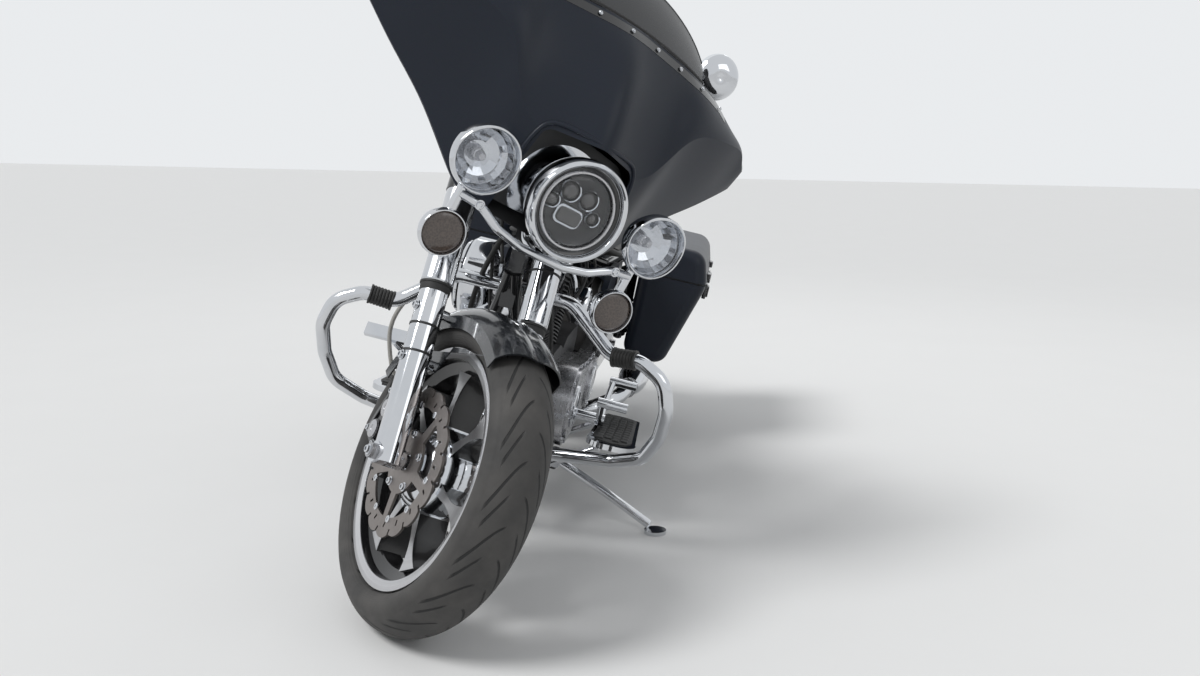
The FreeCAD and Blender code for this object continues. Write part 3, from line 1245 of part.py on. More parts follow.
# Swingarm, with the rear brake's caliper on it.
arms = []
for side in (1, -1):
    arms.append(loft(f"swing_arm{side}", BIKE, [closed_wire("x", x, (side * 130, z - half), (side * 160, z - half),
                                                           (side * 160, z + half), (side * 130, z + half))
                                                for x, z, half in ((-330, 330, 30), (-470, 332, 26), (-850, 320, 30))], ruled=True))
swing_tube = cylinder("swing_tube", BIKE, PIVOT - Y * 160, PIVOT + Y * 160, "sizes.swing_tube_radius")
swing_cross = cylinder("swing_cross", BIKE, (-440, -132, 332), (-440, 132, 332), 18)
axle_hole = cylinder("rear_axle_hole", at(BIKE, REAR_AXLE), (0, -200, 0), (0, 200, 0), "sizes.axle_radius")
rear_block = box("rear_caliper_block", BIKE, (-742, -132, 366), (-662, -70, 436))
DISC_Y = -size("rear_hub_half_width") - size("disc_thickness") / 2
SLOT_HALF = size("disc_thickness") / 2 + size("disc_gap")
rear_slot = cylinder("rear_caliper_slot", BIKE, REAR_AXLE + Y * (DISC_Y - SLOT_HALF), REAR_AXLE + Y * (DISC_Y + SLOT_HALF),
                     size("rear_disc_radius") + size("disc_gap"))
keep(cut("swingarm", fuse("swing_solid", *arms, swing_tube, swing_cross, rear_block), axle_hole, rear_slot, frame_tubes,
         doc.getObject("crankcase"), doc.getObject("exhaust_pipes")), "swingarm", "frame")
axle("rear_axle", "frame", rear_hub, 162)


def shock(name, side):
    """A shock absorber: an upper can, a coil and the lower eye."""
    low, high = Vector(-770, side * 176, 356), Vector(-690, side * 170, 612)
    along = (high - low).normalize()
    piece = new_body(name, at(BIKE, low, Rotation(Z, high - low)))
    reach = (high - low).Length
    stops = [(0, 0), (0, 14), (14, 14), (14, 24), (24, 24)]
    coils = 8
    step = (reach * 0.56 - 24) / coils
    for n in range(coils):
        z = 24 + n * step
        stops += [(z + step * 0.18, 20), (z + step * 0.5, 30, z + step * 0.82, 20)] if n else [(z + step * 0.5, 30, z + step * 0.82, 20)]
    stops += [(reach * 0.56, 22), (reach * 0.56, 28), (reach - 20, 28), (reach - 14, 18), (reach, 18), (reach, 0)]
    flipped = [(p[1], p[0]) if len(p) == 2 else (p[1], p[0], p[3], p[2]) for p in stops]
    revolve(piece, outline(*flipped), plane="XZ", axis="V_Axis")
    return piece


keep(cut("shock_absorbers", compound("shock_pair", shock("left_shock", 1), shock("right_shock", -1)), doc.getObject("swingarm"),
         frame_tubes, doc.getObject("saddlebags")), "shock_absorbers", "frame")

# Drive belt round the rear pulley and the gearbox sprocket.
def belt_outline(big, small, apart):
    tilt = math.asin((big - small) / apart)
    s, c = math.sin(tilt), math.cos(tilt)
    return ((big * s, big * c), (apart + small * s, small * c), (apart + small, 0, apart + small * s, -small * c),
            (big * s, -big * c), (-big, 0, big * s, big * c))


belt = new_body("belt", at(BIKE, REAR_AXLE))
belt_middle = size("pulley_inner_face") + size("belt_width") / 2
REACH = 486
big, small = size("pulley_radius") + 0.3, 40
outer_loop = outline(*belt_outline(big + 6, small + 6, REACH))
inner_loop = outline(*belt_outline(big, small, REACH))
loop = sketch(belt, "XZ", outer_loop + inner_loop, offset=-belt_middle)
feature(belt, "Pad", loop, Length="sizes.belt_width - 2", Midplane=True)
keep(cut("drive_belt", belt, frame_tubes, doc.getObject("crankcase"), doc.getObject("swingarm"),
         doc.getObject("primary_cover")), "drive_belt", "frame")

# Rear lamps and the blank plate.
rear_bar = box("rear_lamp_bar", BIKE, (-1178, -150, 548), (-1160, 150, 572))
rear_stalk = box("rear_lamp_stalk", BIKE, (-1172, -20, 470), (-1130, 20, 560))
tails = []
for y in (-160, 0, 160):
    pod = new_body(f"tail_pod{y}", at(BIKE, (-1196, y, 562), Rotation(Z, 180)))
    revolve(pod, outline((4, 0), (0, 34), (-4, 38), (-36, 34), (-46, 18), (-46, 0)), plane="XZ", axis="H_Axis")
    tails.append(pod)
keep(cut("tail_lamps", fuse("tail_solid", rear_bar, rear_stalk, *tails), doc.getObject("rear_fender")), "tail_lamps", "frame")
plate_holder = box("number_plate_box", at(BIKE, (-1170, 0, 420), Rotation(Y, 8)), (-8, -90, -60), (-4, 90, 60))
keep(cut("number_plate", plate_holder, doc.getObject("rear_fender"), doc.getObject("tail_lamps")), "number_plate", "frame")

CABLE = [(330, -150, 330), (392, -236, 352), (394, -262, 424), (398, -272, 486), (406, -248, 552), (420, -196, 606), (440, -120, 660)]
keep(cut("clutch_cable", tube("cable_run", BIKE, CABLE, "cable_radius", 60), doc.getObject("engine_guard"), frame_tubes,
         doc.getObject("exhaust_pipes")), "clutch_cable", "frame")

doc.recompute()
os.makedirs("parts", exist_ok=True)
failed = [o.Name for o in doc.Objects if "Invalid" in o.State or "Error" in o.State]
if failed:
    raise SystemExit("objects with errors: " + ", ".join(failed))
for piece in PIECES:
    shape = piece.Shape
    if not shape.isValid() or not shape.Solids or min(s.Volume for s in shape.Solids) <= 0:
        raise SystemExit("bad shape: " + piece.Label)
    shape.exportStep(f"parts/{piece.Label}.step")


def rounded(v, digits=5):
    return [round(v.x, digits), round(v.y, digits), round(v.z, digits)]


whole = FreeCAD.BoundBox()
for piece in PIECES:
    whole.add(piece.Shape.BoundBox)
print("box", [round(v, 2) for v in (whole.XMin, whole.YMin, whole.ZMin, whole.XMax, whole.YMax, whole.ZMax)])


def muffler_mouth(side):
    frame = outlet_frame(side)
    return frame.Base, frame.Rotation.multVec(X * -1)


facts = {
    "steering": (FORK.multVec(steering_point(700)), BIKE.Rotation.multVec(STEER_AXIS)),
    "front_wheel": (front_hub.Base, front_hub.Rotation.multVec(Y)),
    "rear_wheel": (rear_hub.Base, rear_hub.Rotation.multVec(Y)),
    "side_stand": (BIKE.multVec(STAND), BIKE.Rotation.multVec(STAND_AXIS)),
    "left_lid": (BIKE.multVec(Vector(-870, HINGE_Y, HINGE_Z)), BIKE.Rotation.multVec(X)),
    "right_lid": (BIKE.multVec(Vector(-870, -HINGE_Y, HINGE_Z)), BIKE.Rotation.multVec(X * -1)),
    "left_outlet": muffler_mouth(1),
    "right_outlet": muffler_mouth(-1),
    "front_bore": (front_hub.Base, front_hub.Rotation.multVec(Y)),
    "rear_bore": (rear_hub.Base, rear_hub.Rotation.multVec(Y)),
}
for name, (point, direction) in facts.items():
    print("place", json.dumps([name, rounded(point * 0.001), rounded(direction, 6)]))
print("bodies", json.dumps(BODIES))
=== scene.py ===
import json
import math

import bpy
from mathutils import Matrix, Vector


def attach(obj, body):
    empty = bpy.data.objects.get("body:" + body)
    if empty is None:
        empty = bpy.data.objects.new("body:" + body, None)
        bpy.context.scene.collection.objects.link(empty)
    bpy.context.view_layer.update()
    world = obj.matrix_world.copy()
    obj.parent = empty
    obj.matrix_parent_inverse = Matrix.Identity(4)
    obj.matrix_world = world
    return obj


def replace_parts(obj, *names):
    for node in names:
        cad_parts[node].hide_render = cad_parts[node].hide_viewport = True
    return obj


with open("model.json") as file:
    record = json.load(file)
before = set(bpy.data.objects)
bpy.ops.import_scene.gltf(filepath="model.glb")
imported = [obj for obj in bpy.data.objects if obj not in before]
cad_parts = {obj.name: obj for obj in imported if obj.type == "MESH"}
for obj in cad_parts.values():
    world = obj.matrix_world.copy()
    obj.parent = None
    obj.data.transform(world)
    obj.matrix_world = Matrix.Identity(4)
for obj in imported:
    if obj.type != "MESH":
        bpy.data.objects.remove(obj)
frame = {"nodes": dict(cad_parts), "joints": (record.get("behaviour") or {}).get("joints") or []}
nodes = frame["nodes"]
joints = {j["name"]: j for j in frame["joints"]}
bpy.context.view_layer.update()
print("loaded", len(nodes), "nodes")

# the photo's view: place, turn in degrees and lens of a camera in front of the bike
view = {"place": (2.9855, 0.4508, 0.9397), "yaw": 6.51, "pitch": 9.753, "roll": 1.038, "lens": 34.03,
        "sensor": 36, "reach": 200}


def addCamera(v):
    yaw, pitch, roll = (math.radians(v[k]) for k in ("yaw", "pitch", "roll"))
    ahead = Vector((-math.cos(yaw) * math.cos(pitch), -math.sin(yaw) * math.cos(pitch), -math.sin(pitch)))
    right = ahead.cross(Vector((0, 0, 1))).normalized()
    up = right.cross(ahead)
    side = math.cos(roll) * right + math.sin(roll) * up
    top = -math.sin(roll) * right + math.cos(roll) * up
    data = bpy.data.cameras.new("photoCamera")
    data.lens = v["lens"]
    data.sensor_width = v["sensor"]
    data.clip_end = v["reach"]
    camera = bpy.data.objects.new("photoCamera", data)
    camera.matrix_world = Matrix.Translation(v["place"]) @ Matrix((side, top, -ahead)).transposed().to_4x4()
    bpy.context.scene.collection.objects.link(camera)
    bpy.context.scene.camera = camera


addCamera(view)
bpy.context.scene.view_settings.view_transform = "Standard"
print("camera set")

# the upright bike's own place on its leaned stance, and the front end's, turned on the steering axis
stance = {"rearAxle": (-0.8065, 0, 0.32), "frontAxle": (0.8065, 0, 0.32), "steeringTurn": 37.3,
          "forkAngle": -29.25, "forkHalf": 0.118}


def findPlaces(s):
    across = Vector(joints["rear_wheel_spin"]["axis"])
    ahead = Vector(joints["left_lid_hinge"]["axis"])
    turn = Matrix((ahead, across, ahead.cross(across))).transposed()
    origin = Vector(joints["rear_wheel_spin"]["pos_m"]) - turn @ Vector(s["rearAxle"])
    upright = Matrix.Translation(origin) @ turn.to_4x4()
    pivot = Vector(joints["steering"]["pos_m"])
    steer = Matrix.Rotation(math.radians(s["steeringTurn"]), 4, Vector(joints["steering"]["axis"]))
    return upright, Matrix.Translation(pivot) @ steer @ Matrix.Translation(-pivot) @ upright


bike, fork = findPlaces(stance)


def placeAt(base, point, *turns):
    place = base @ Matrix.Translation(point)
    for angle, axis in turns:
        place = place @ Matrix.Rotation(math.radians(angle), 4, axis)
    return place


# a place whose z runs along a direction of the base
def aimed(base, point, direction):
    turn = Vector((0, 0, 1)).rotation_difference(Vector(direction)).to_matrix().to_4x4()
    return base @ Matrix.Translation(point) @ turn


# places on a circle in the xz plane of the base, each facing along y
def circle(base, centre, radius, count, way, start=0.0):
    for n in range(count):
        angle = math.tau * (n + start) / count
        step = Vector((radius * math.cos(angle), 0, radius * math.sin(angle)))
        yield aimed(base, Vector(centre) + step, (0, way, 0))


def pointsIn(base, points):
    return [base @ Vector(p) for p in points]


frontWheel = placeAt(fork, stance["frontAxle"])
rearWheel = placeAt(bike, stance["rearAxle"])
legs = {side: placeAt(frontWheel, (0, side * stance["forkHalf"], 0), (stance["forkAngle"], "Y"))
        for side in (1, -1)}
headPlace = placeAt(fork, (0.79, 0, 0.897), (90, "Y"))


# sums on shader sockets: a value that is written as Python adds its own Math nodes
class Signal:
    def __init__(self, shader, socket):
        self.shader, self.socket = shader, socket

    def math(self, operation, *values):
        return self.shader.node("ShaderNodeMath", {"operation": operation}, dict(enumerate(values)))

    def __add__(self, other):
        return self.math("ADD", self, other)

    def __radd__(self, other):
        return self.math("ADD", other, self)

    def __sub__(self, other):
        return self.math("SUBTRACT", self, other)

    def __rsub__(self, other):
        return self.math("SUBTRACT", other, self)

    def __mul__(self, other):
        return self.math("MULTIPLY", self, other)

    def __rmul__(self, other):
        return self.math("MULTIPLY", other, self)

    def __truediv__(self, other):
        return self.math("DIVIDE", self, other)

    def __pow__(self, other):
        return self.math("POWER", self, other)

    def __abs__(self):
        return self.math("ABSOLUTE", self)

    def over(self, limit):
        return self.math("GREATER_THAN", self, limit)

    def under(self, limit):
        return self.math("LESS_THAN", self, limit)

    def either(self, other):
        return self.math("MAXIMUM", self, other)

    def repeat(self):
        return self.math("FRACT", self)

    def band(self, low, high):
        return self.shader.node("ShaderNodeMapRange", {"clamp": True},
                                {"Value": self, "From Min": low, "From Max": high})


# one material: its surface shader and the nodes that feed it
class Shader:
    def __init__(self, name, **sockets):
        self.material = bpy.data.materials.new(name)
        self.material.use_nodes = True
        self.tree = self.material.node_tree
        self.surface = self.tree.nodes["Principled BSDF"]
        for key, value in sockets.items():
            self.plug(self.surface, key.replace("_", " "), value)

    def plug(self, node, key, value):
        if isinstance(value, Signal):
            self.tree.links.new(value.socket, node.inputs[key])
        else:
            node.inputs[key].default_value = value

    # the finished material, with what changes over its surface
    def done(self, colour, roughness=None, metal=None):
        for key, value in (("Base Color", colour), ("Roughness", roughness), ("Metallic", metal)):
            if value is not None:
                self.plug(self.surface, key, value)
        return self.material

    def node(self, kind, settings, sockets, output=0):
        made = self.tree.nodes.new(kind)
        for key, value in settings.items():
            setattr(made, key, value)
        for key, value in sockets.items():
            self.plug(made, key, value)
        return Signal(self, made.outputs[output])

    def spot(self):
        return self.node("ShaderNodeTexCoord", {}, {}, output="Object")

    # distances along the three axes of a place, in metres
    def spotIn(self, place):
        here = self.spot()
        return [self.node("ShaderNodeVectorMath", {"operation": "DOT_PRODUCT"}, {0: here, 1: row[:3]},
                          output="Value") + row[3] for row in place.inverted()[:3]]

    def noise(self, scale, detail, where=None):
        sockets = {"Vector": where or self.spot(), "Scale": scale, "Detail": detail, "Roughness": 0.55}
        return self.node("ShaderNodeTexNoise", {"noise_dimensions": "3D"}, sockets)

    def cells(self, scale, feature="F1", output="Distance"):
        sockets = {"Vector": self.spot(), "Scale": scale}
        return self.node("ShaderNodeTexVoronoi", {"feature": feature}, sockets, output)

    # a noise of that detail, or cells where a feature's name stands in its place
    def grain(self, scale, kind):
        return self.cells(scale, kind) if isinstance(kind, str) else self.noise(scale, kind)

    def blend(self, factor, first, second):
        first, second = [c if isinstance(c, Signal) else (*c, 1.0) for c in (first, second)]
        return self.node("ShaderNodeMix", {"data_type": "RGBA"}, {0: factor, 6: first, 7: second}, output=2)

    def bump(self, height, distance, strength):
        sockets = {"Height": height, "Distance": distance, "Strength": strength}
        self.plug(self.surface, "Normal", self.node("ShaderNodeBump", {}, sockets))


# even finishes, each with its sockets, the grain that mixes its colours and that grain's band, both colours,
# the least roughness with the spread and grain on it, and the grain, distance and strength of its bump
metal = {"Metallic": 1.0}
chromeTints = ((0.66, 0.67, 0.69), (0.58, 0.6, 0.63))
evenFinishes = {
    "chrome": (metal, (9, 5, 0.35, 0.75), chromeTints, (0.035, 0.05, 38, 3)),
    "polishedAlloy": (metal, (14, 5), ((0.56, 0.56, 0.57), (0.44, 0.44, 0.46)), (0.2, 0.14, 60, 4)),
    "castAlloy": ({"Metallic": 0.55}, (22, 6), ((0.04, 0.04, 0.042), (0.07, 0.07, 0.073)),
                  (0.42, 0.16, 90, 3), (420, 3, 0.0004, 0.5)),
    "discSteel": (metal, (30, 5), ((0.3, 0.275, 0.26), (0.19, 0.17, 0.16)), (0.3, 0.2, 140, 3),
                  (600, 2, 0.0001, 0.4)),
    "machinedSteel": (metal, (30, 5), ((0.46, 0.46, 0.47), (0.34, 0.34, 0.35)), (0.2, 0.16, 140, 3)),
    "plateAlloy": ({"Metallic": 0.2}, (20, 4), ((0.62, 0.62, 0.61), (0.7, 0.7, 0.69)), (0.38, 0.1, 80, 3)),
    "paleSheath": ({"Metallic": 0.3}, (300, 3), ((0.3, 0.29, 0.27), (0.44, 0.43, 0.4)),
                   (0.42, 0.12, 200, 2)),
    "glossBlack": ({"Coat_Weight": 0.5}, (5, 4), ((0.008, 0.008, 0.009), (0.013, 0.013, 0.014)),
                   (0.16, 0.1, 40, 5)),
    "fenderGloss": ({"Coat_Weight": 0.9, "Coat_Roughness": 0.05}, (4, 4),
                    ((0.008, 0.009, 0.011), (0.012, 0.014, 0.017)), (0.2, 0.08, 30, 5)),
    "mouldedBlack": ({}, (8, 4), ((0.012, 0.012, 0.013), (0.02, 0.02, 0.021)), (0.5, 0.18, 70, 4),
                     (900, "F1", 0.0003, 0.5)),
    "speakerMesh": ({"Metallic": 0.4}, (420, "F1", 0.25, 0.5), ((0.004, 0.004, 0.004), (0.03, 0.03, 0.032)),
                    (0.4, 0.2, 60, 3), (420, "F1", 0.0006, 0.8)),
    "softRubber": ({}, (18, 4), ((0.013, 0.013, 0.013), (0.024, 0.024, 0.024)), (0.58, 0.15, 80, 3),
                   (700, 3, 0.0003, 0.4)),
    "grainLeather": ({}, (12, 5), ((0.012, 0.012, 0.012), (0.026, 0.025, 0.024)), (0.46, 0.16, 60, 4),
                     (420, "SMOOTH_F1", 0.0008, 0.55)),
    "stitchThread": ({}, (90, 3), ((0.045, 0.045, 0.045), (0.075, 0.075, 0.073)), (0.7, 0.1, 120, 2)),
    "darkGlass": ({"Coat_Weight": 1.0, "Coat_Roughness": 0.02, "IOR": 1.6}, (40, 3),
                  ((0.03, 0.028, 0.026), (0.075, 0.07, 0.064)), (0.06, 0.05, 60, 2)),
    "smokedLens": ({"Coat_Weight": 0.8, "Coat_Roughness": 0.04, "IOR": 1.5}, (260, "F1", 0.1, 0.8),
                   ((0.04, 0.028, 0.022), (0.085, 0.062, 0.05)), (0.16, 0.1, 50, 2),
                   (260, "F1", 0.0004, 0.4)),
    "smokedScreen": ({"Roughness": 0.06, "IOR": 1.49, "Alpha": 0.86, "Coat_Weight": 0.4}, (4, 2),
                     ((0.01, 0.011, 0.013), (0.014, 0.015, 0.018))),
    "redLens": ({"Roughness": 0.12, "Coat_Weight": 0.7}, (300, "F1"),
                ((0.2, 0.004, 0.004), (0.34, 0.01, 0.008)), None, (300, "F1", 0.0005, 0.4)),
}


def evenFinish(name, sockets, mix, colours, rough=None, bump=None):
    s = Shader(name, **sockets)
    factor = s.grain(*mix[:2])
    if mix[2:]:
        factor = factor.band(*mix[2:])
    if bump:
        s.bump(s.grain(*bump[:2]), *bump[2:])
    return s.done(s.blend(factor, *colours), rough and rough[0] + rough[1] * s.grain(*rough[2:]))


def satinPaint(name):
    s = Shader(name, Coat_Roughness=0.25, Coat_Weight=0.06, Specular_IOR_Level=0.17)
    tint = s.blend(s.noise(3, 3), (0.0045, 0.0078, 0.016), (0.0065, 0.0108, 0.021))
    s.bump(s.noise(300, 2), 0.00005, 0.3)
    return s.done(s.blend(0.02, tint, s.cells(5200, output="Color")), 0.33 + 0.07 * s.noise(16, 5))


# long curved sipes on both sides of the crown, a short one between each two, and fine rings on the walls
def tyreRubber(name, place, half, crown, pitches):
    s = Shader(name)
    x, y, z = s.spotIn(place)
    around = z.math("ARCTAN2", z, x) * (pitches / math.tau)
    radius = (x * x + z * z) ** 0.5
    aside = abs(y) / half
    lead = around + 0.5 * y.over(0.0) + 1.35 * (aside ** 1.9)
    long, short = [abs(phase.repeat() - 0.5) for phase in (lead, lead + 0.42)]
    longMask = (0.02 + 0.075 * aside - long).band(0.0, 0.02) * aside.band(0.08, 0.16)
    shortMask = (0.012 + 0.085 * aside - short).band(0.0, 0.02) * aside.band(0.3, 0.38)
    groove = (longMask * (1 - aside.band(0.74, 0.8))).either(shortMask * (1 - aside.band(0.66, 0.72)))
    wall = 1 - radius.band(crown - 0.045, crown - 0.04)
    rings = wall * abs((radius * 260).repeat() - 0.5).band(0.3, 0.5) * radius.under(crown - 0.052)
    worn = s.blend(s.noise(9, 6).band(0.4, 0.75), (0.036, 0.035, 0.034), (0.074, 0.07, 0.066))
    s.bump(1 - groove + 0.1 * s.noise(420, 4) + 0.12 * rings, 0.003, 0.9)
    # the grooves are painted near black: painted shade in their depth, where the bump alone gives none
    return s.done(s.blend(groove, worn, (0.005, 0.005, 0.005)), 0.62 + 0.2 * s.noise(55, 5))


# gloss black casting with machined rim edges and spoke faces and a polished hub
def wheelFinish(name, place, rimHalf, rimRadius, spokeHalf, barrel):
    s = Shader(name, Coat_Weight=0.3)
    x, y, z = s.spotIn(place)
    radius = (x * x + z * z) ** 0.5
    lip = radius.over(rimRadius - 0.0215) * abs(y).over(rimHalf - 0.0058)
    face = abs(y).over(spokeHalf - 0.0008) * radius.under(rimRadius - 0.03) * radius.over(barrel)
    cut, hub = lip.either(face), radius.under(barrel)
    lathe = s.noise(260, 3, s.node("ShaderNodeCombineXYZ", {}, {0: radius, 1: y, 2: 0.0}))
    black = s.blend(s.noise(6, 4), (0.008, 0.008, 0.009), (0.014, 0.014, 0.015))
    turned = s.blend(lathe, (0.6, 0.6, 0.61), (0.46, 0.46, 0.47))
    bright = s.blend(hub, turned, (0.62, 0.64, 0.67))
    rough = 0.17 + 0.1 * s.noise(40, 4) + 0.14 * cut - 0.12 * hub
    return s.done(s.blend(cut.either(hub), black, bright), rough, cut.either(hub))


# the chrome shell in front and the black recess plate behind it
def headlampFinish(name, place, ring):
    s = Shader(name)
    x, y, z = s.spotIn(place)
    shell = ((x * x + y * y) ** 0.5).under(ring)
    colour = s.blend(shell, (0.012, 0.012, 0.013), s.blend(s.noise(9, 4), *chromeTints))
    return s.done(colour, 0.42 - 0.36 * shell + 0.05 * s.noise(40, 3), shell)


def clearLens(name, place, flutes):
    s = Shader(name, Roughness=0.0, IOR=1.33, Transmission_Weight=1.0)
    s.bump(abs((s.spotIn(place)[1] * flutes).repeat() - 0.5), 0.0002, 0.1)
    return s.done(s.blend(s.noise(30, 2), (0.95, 0.96, 0.97), (0.9, 0.91, 0.93)))


# red lenses that face backwards, in chrome housings on a chrome bar
def tailFinish(name, place, height, radius, front):
    s = Shader(name, Coat_Weight=0.6)
    x, y, z = s.spotIn(place)
    pod = abs(y).math("MODULO", abs(y) + 0.08, 0.16) - 0.08
    lens = ((pod * pod + (z - height) * (z - height)) ** 0.5).under(radius) * x.under(front)
    red = s.blend(s.cells(220), (0.22, 0.004, 0.004), (0.36, 0.01, 0.008))
    return s.done(s.blend(lens, (0.62, 0.63, 0.65), red), 0.07 + 0.08 * s.noise(60, 3), 1 - lens)


# a glossy back with the glass on the rider's side
def mirrorFinish(name, place, front):
    s = Shader(name, Metallic=1.0)
    glass = s.spotIn(place)[0].under(front)
    colour = s.blend(glass, s.blend(s.noise(9, 5), *chromeTints), (0.82, 0.84, 0.86))
    return s.done(colour, 0.05 + 0.04 * s.noise(38, 3) - 0.03 * glass)


# a dial: ticks near the rim, a pale needle hub and a black face
def dialFinish(name, place, radius):
    s = Shader(name, Coat_Weight=1.0, Coat_Roughness=0.02)
    x, y, z = s.spotIn(place)
    reach = (x * x + y * y) ** 0.5
    turn = x.math("ARCTAN2", y, x) * (40 / math.tau)
    tick = abs(turn.repeat() - 0.5).under(0.1) * reach.over(radius * 0.8) * reach.under(radius * 0.92)
    black = s.blend(s.noise(30, 3), (0.01, 0.01, 0.011), (0.016, 0.016, 0.017))
    colour = s.blend(tick.either(reach.under(radius * 0.1)), black, (0.62, 0.62, 0.6))
    return s.done(colour, 0.35 + 0.1 * s.noise(60, 2))


finish = {name: evenFinish(name, *row) for name, row in evenFinishes.items()}
ownFinishes = {
    "satinPaint": (satinPaint,), "clearLens": (clearLens, fork, 90),
    "frontTread": (tyreRubber, frontWheel, 0.066, 0.32, 17),
    "rearTread": (tyreRubber, rearWheel, 0.091, 0.32, 15),
    "frontCasting": (wheelFinish, frontWheel, 0.052, 0.244, 0.033, 0.093),
    "rearCasting": (wheelFinish, rearWheel, 0.072, 0.218, 0.033, 0.06),
    "headlampShell": (headlampFinish, headPlace, 0.1025),
    "tailLamps": (tailFinish, bike, 0.562, 0.0345, -1.19), "mirrorChrome": (mirrorFinish, fork, 0.3505),
}
for name, (make, *facts) in ownFinishes.items():
    finish[name] = make(name, *facts)

# which finish each CAD node gets
nodeFinish = {
    "chrome": ["fork_sliders", "fork_tubes", "spot_lamps", "front_signals", "lamp_bar", "handlebar",
               "pushrod_tubes", "air_cleaner", "mufflers", "exhaust_pipes", "tank_console", "engine_guard",
               "foot_controls", "side_stand", "floorboards"],
    "polishedAlloy": ["rocker_boxes", "primary_cover", "hand_controls"],
    "castAlloy": ["crankcase", "cylinders"],
    "satinPaint": ["fairing_shell", "fuel_tank", "rear_fender", "saddlebags", "left_lid", "right_lid",
                   "side_covers"],
    "fenderGloss": ["front_fender"],
    "glossBlack": ["frame_tubes", "swingarm", "fork_yokes", "front_calipers", "shock_absorbers",
                   "fairing_bracket"],
    "mouldedBlack": ["fairing_inner"],
    "frontTread": ["front_tyre"], "rearTread": ["rear_tyre"],
    "frontCasting": ["front_wheel_casting"], "rearCasting": ["rear_wheel_casting"],
    "softRubber": ["grips", "drive_belt", "clutch_cable"],
    "discSteel": ["front_discs", "rear_disc"],
    "machinedSteel": ["rear_pulley", "front_axle", "rear_axle"],
    "clearLens": ["lamp_lenses"], "headlampShell": ["headlamp"], "mirrorChrome": ["mirrors"],
    "smokedScreen": ["windshield"], "tailLamps": ["tail_lamps"], "grainLeather": ["seat", "guard_sleeves"],
    "plateAlloy": ["number_plate"],
}
for name, members in nodeFinish.items():
    for member in members:
        mesh = nodes[member].data
        mesh.materials.clear()
        mesh.materials.append(finish[name])
print("finishes given to the nodes")


# modelling helpers: each starts from a primitive and shapes it
def startFresh():
    bpy.ops.object.select_all(action="DESELECT")


def named(name):
    bpy.context.object.name = name
    return bpy.context.object


def shapeInEdit(piece):
    startFresh()
    piece.select_set(True)
    bpy.context.view_layer.objects.active = piece
    bpy.ops.object.mode_set(mode="EDIT")
    bpy.ops.mesh.select_all(action="SELECT")


# all faces turned outwards
def faceOut():
    bpy.ops.mesh.select_all(action="SELECT")
    bpy.ops.mesh.normals_make_consistent(inside=False)


def joined(name, pieces):
    startFresh()
    for piece in pieces:
        piece.select_set(True)
    bpy.context.view_layer.objects.active = pieces[0]
    bpy.ops.object.transform_apply(location=True, rotation=True, scale=True)
    if len(pieces) > 1:
        bpy.ops.object.join()
    return named(name)


def placed(piece, place):
    piece.matrix_world = place
    return joined(piece.name, [piece])


# a turned piece about z: a circle, extruded and scaled from ring to ring of (radius, height) in millimetres
def turnPiece(name, rings, steps, place=None, shut=True):
    startFresh()
    rings = [(radius / 1000, height / 1000) for radius, height in rings]
    bpy.ops.mesh.primitive_circle_add(vertices=steps, radius=rings[0][0], location=(0, 0, rings[0][1]))
    piece = named(name)
    bpy.ops.object.transform_apply(location=True, rotation=False, scale=False)
    shapeInEdit(piece)
    if shut:
        bpy.ops.mesh.edge_face_add()
    for (r0, h0), (r1, h1) in zip(rings, rings[1:]):
        bpy.ops.mesh.extrude_region_move(TRANSFORM_OT_translate={"value": (0, 0, h1 - h0)})
        bpy.ops.transform.resize(value=(r1 / r0, r1 / r0, 1), center_override=(0, 0, h1))
    bpy.ops.mesh.select_all(action="SELECT")
    bpy.ops.mesh.remove_doubles(threshold=0.00001)
    faceOut()
    bpy.ops.object.mode_set(mode="OBJECT")
    return placed(piece, place) if place else piece


# a ring whose last section joins its first
def hoopPiece(name, rings, steps, place=None):
    return turnPiece(name, rings + rings[:1], steps, place, shut=False)


# a block between two corners, with rounded edges
def blockPiece(name, start, end, round=0.002, segments=2, place=None):
    startFresh()
    low, high = [Vector([pick(pair) for pair in zip(start, end)]) for pick in (min, max)]
    bpy.ops.mesh.primitive_cube_add(size=1, location=(low + high) / 2)
    piece = named(name)
    piece.scale = high - low
    bpy.ops.object.transform_apply(location=True, rotation=False, scale=True)
    shapeInEdit(piece)
    bpy.ops.mesh.bevel(offset=round, segments=segments, affect="EDGES")
    bpy.ops.object.mode_set(mode="OBJECT")
    return placed(piece, place) if place else piece


# a plate of an outline in the xy plane, extruded to its thickness, its edges rounded
def platePiece(name, corners, thickness, round, place):
    startFresh()
    bpy.ops.mesh.primitive_circle_add(vertices=len(corners), radius=1, fill_type="NGON")
    piece = named(name)
    for vertex, (x, y) in zip(piece.data.vertices, corners):
        vertex.co = (x, y, 0)
    shapeInEdit(piece)
    bpy.ops.mesh.extrude_region_move(TRANSFORM_OT_translate={"value": (0, 0, thickness)})
    faceOut()
    bpy.ops.mesh.bevel(offset=round, segments=2, affect="EDGES")
    bpy.ops.object.mode_set(mode="OBJECT")
    return placed(piece, place)


# a rod, pipe or wire along a smooth line
def rodPiece(name, points, radius, sides=3, closed=False):
    startFresh()
    bpy.ops.curve.primitive_nurbs_path_add(location=(0, 0, 0))
    data = named(name).data
    spline = data.splines[0]
    while len(points) < len(spline.points):
        points = [points[0], (points[0] + points[1]) / 2, *points[1:]]
    spline.points.add(len(points) - len(spline.points))
    for point, place in zip(spline.points, points):
        point.co = (*place, 1)
    spline.order_u = 3
    spline.use_endpoint_u = not closed
    spline.use_cyclic_u = closed
    spline.resolution_u = 6
    data.bevel_depth = radius
    data.bevel_resolution = sides
    data.use_fill_caps = True
    bpy.ops.object.convert(target="MESH")
    return bpy.context.object


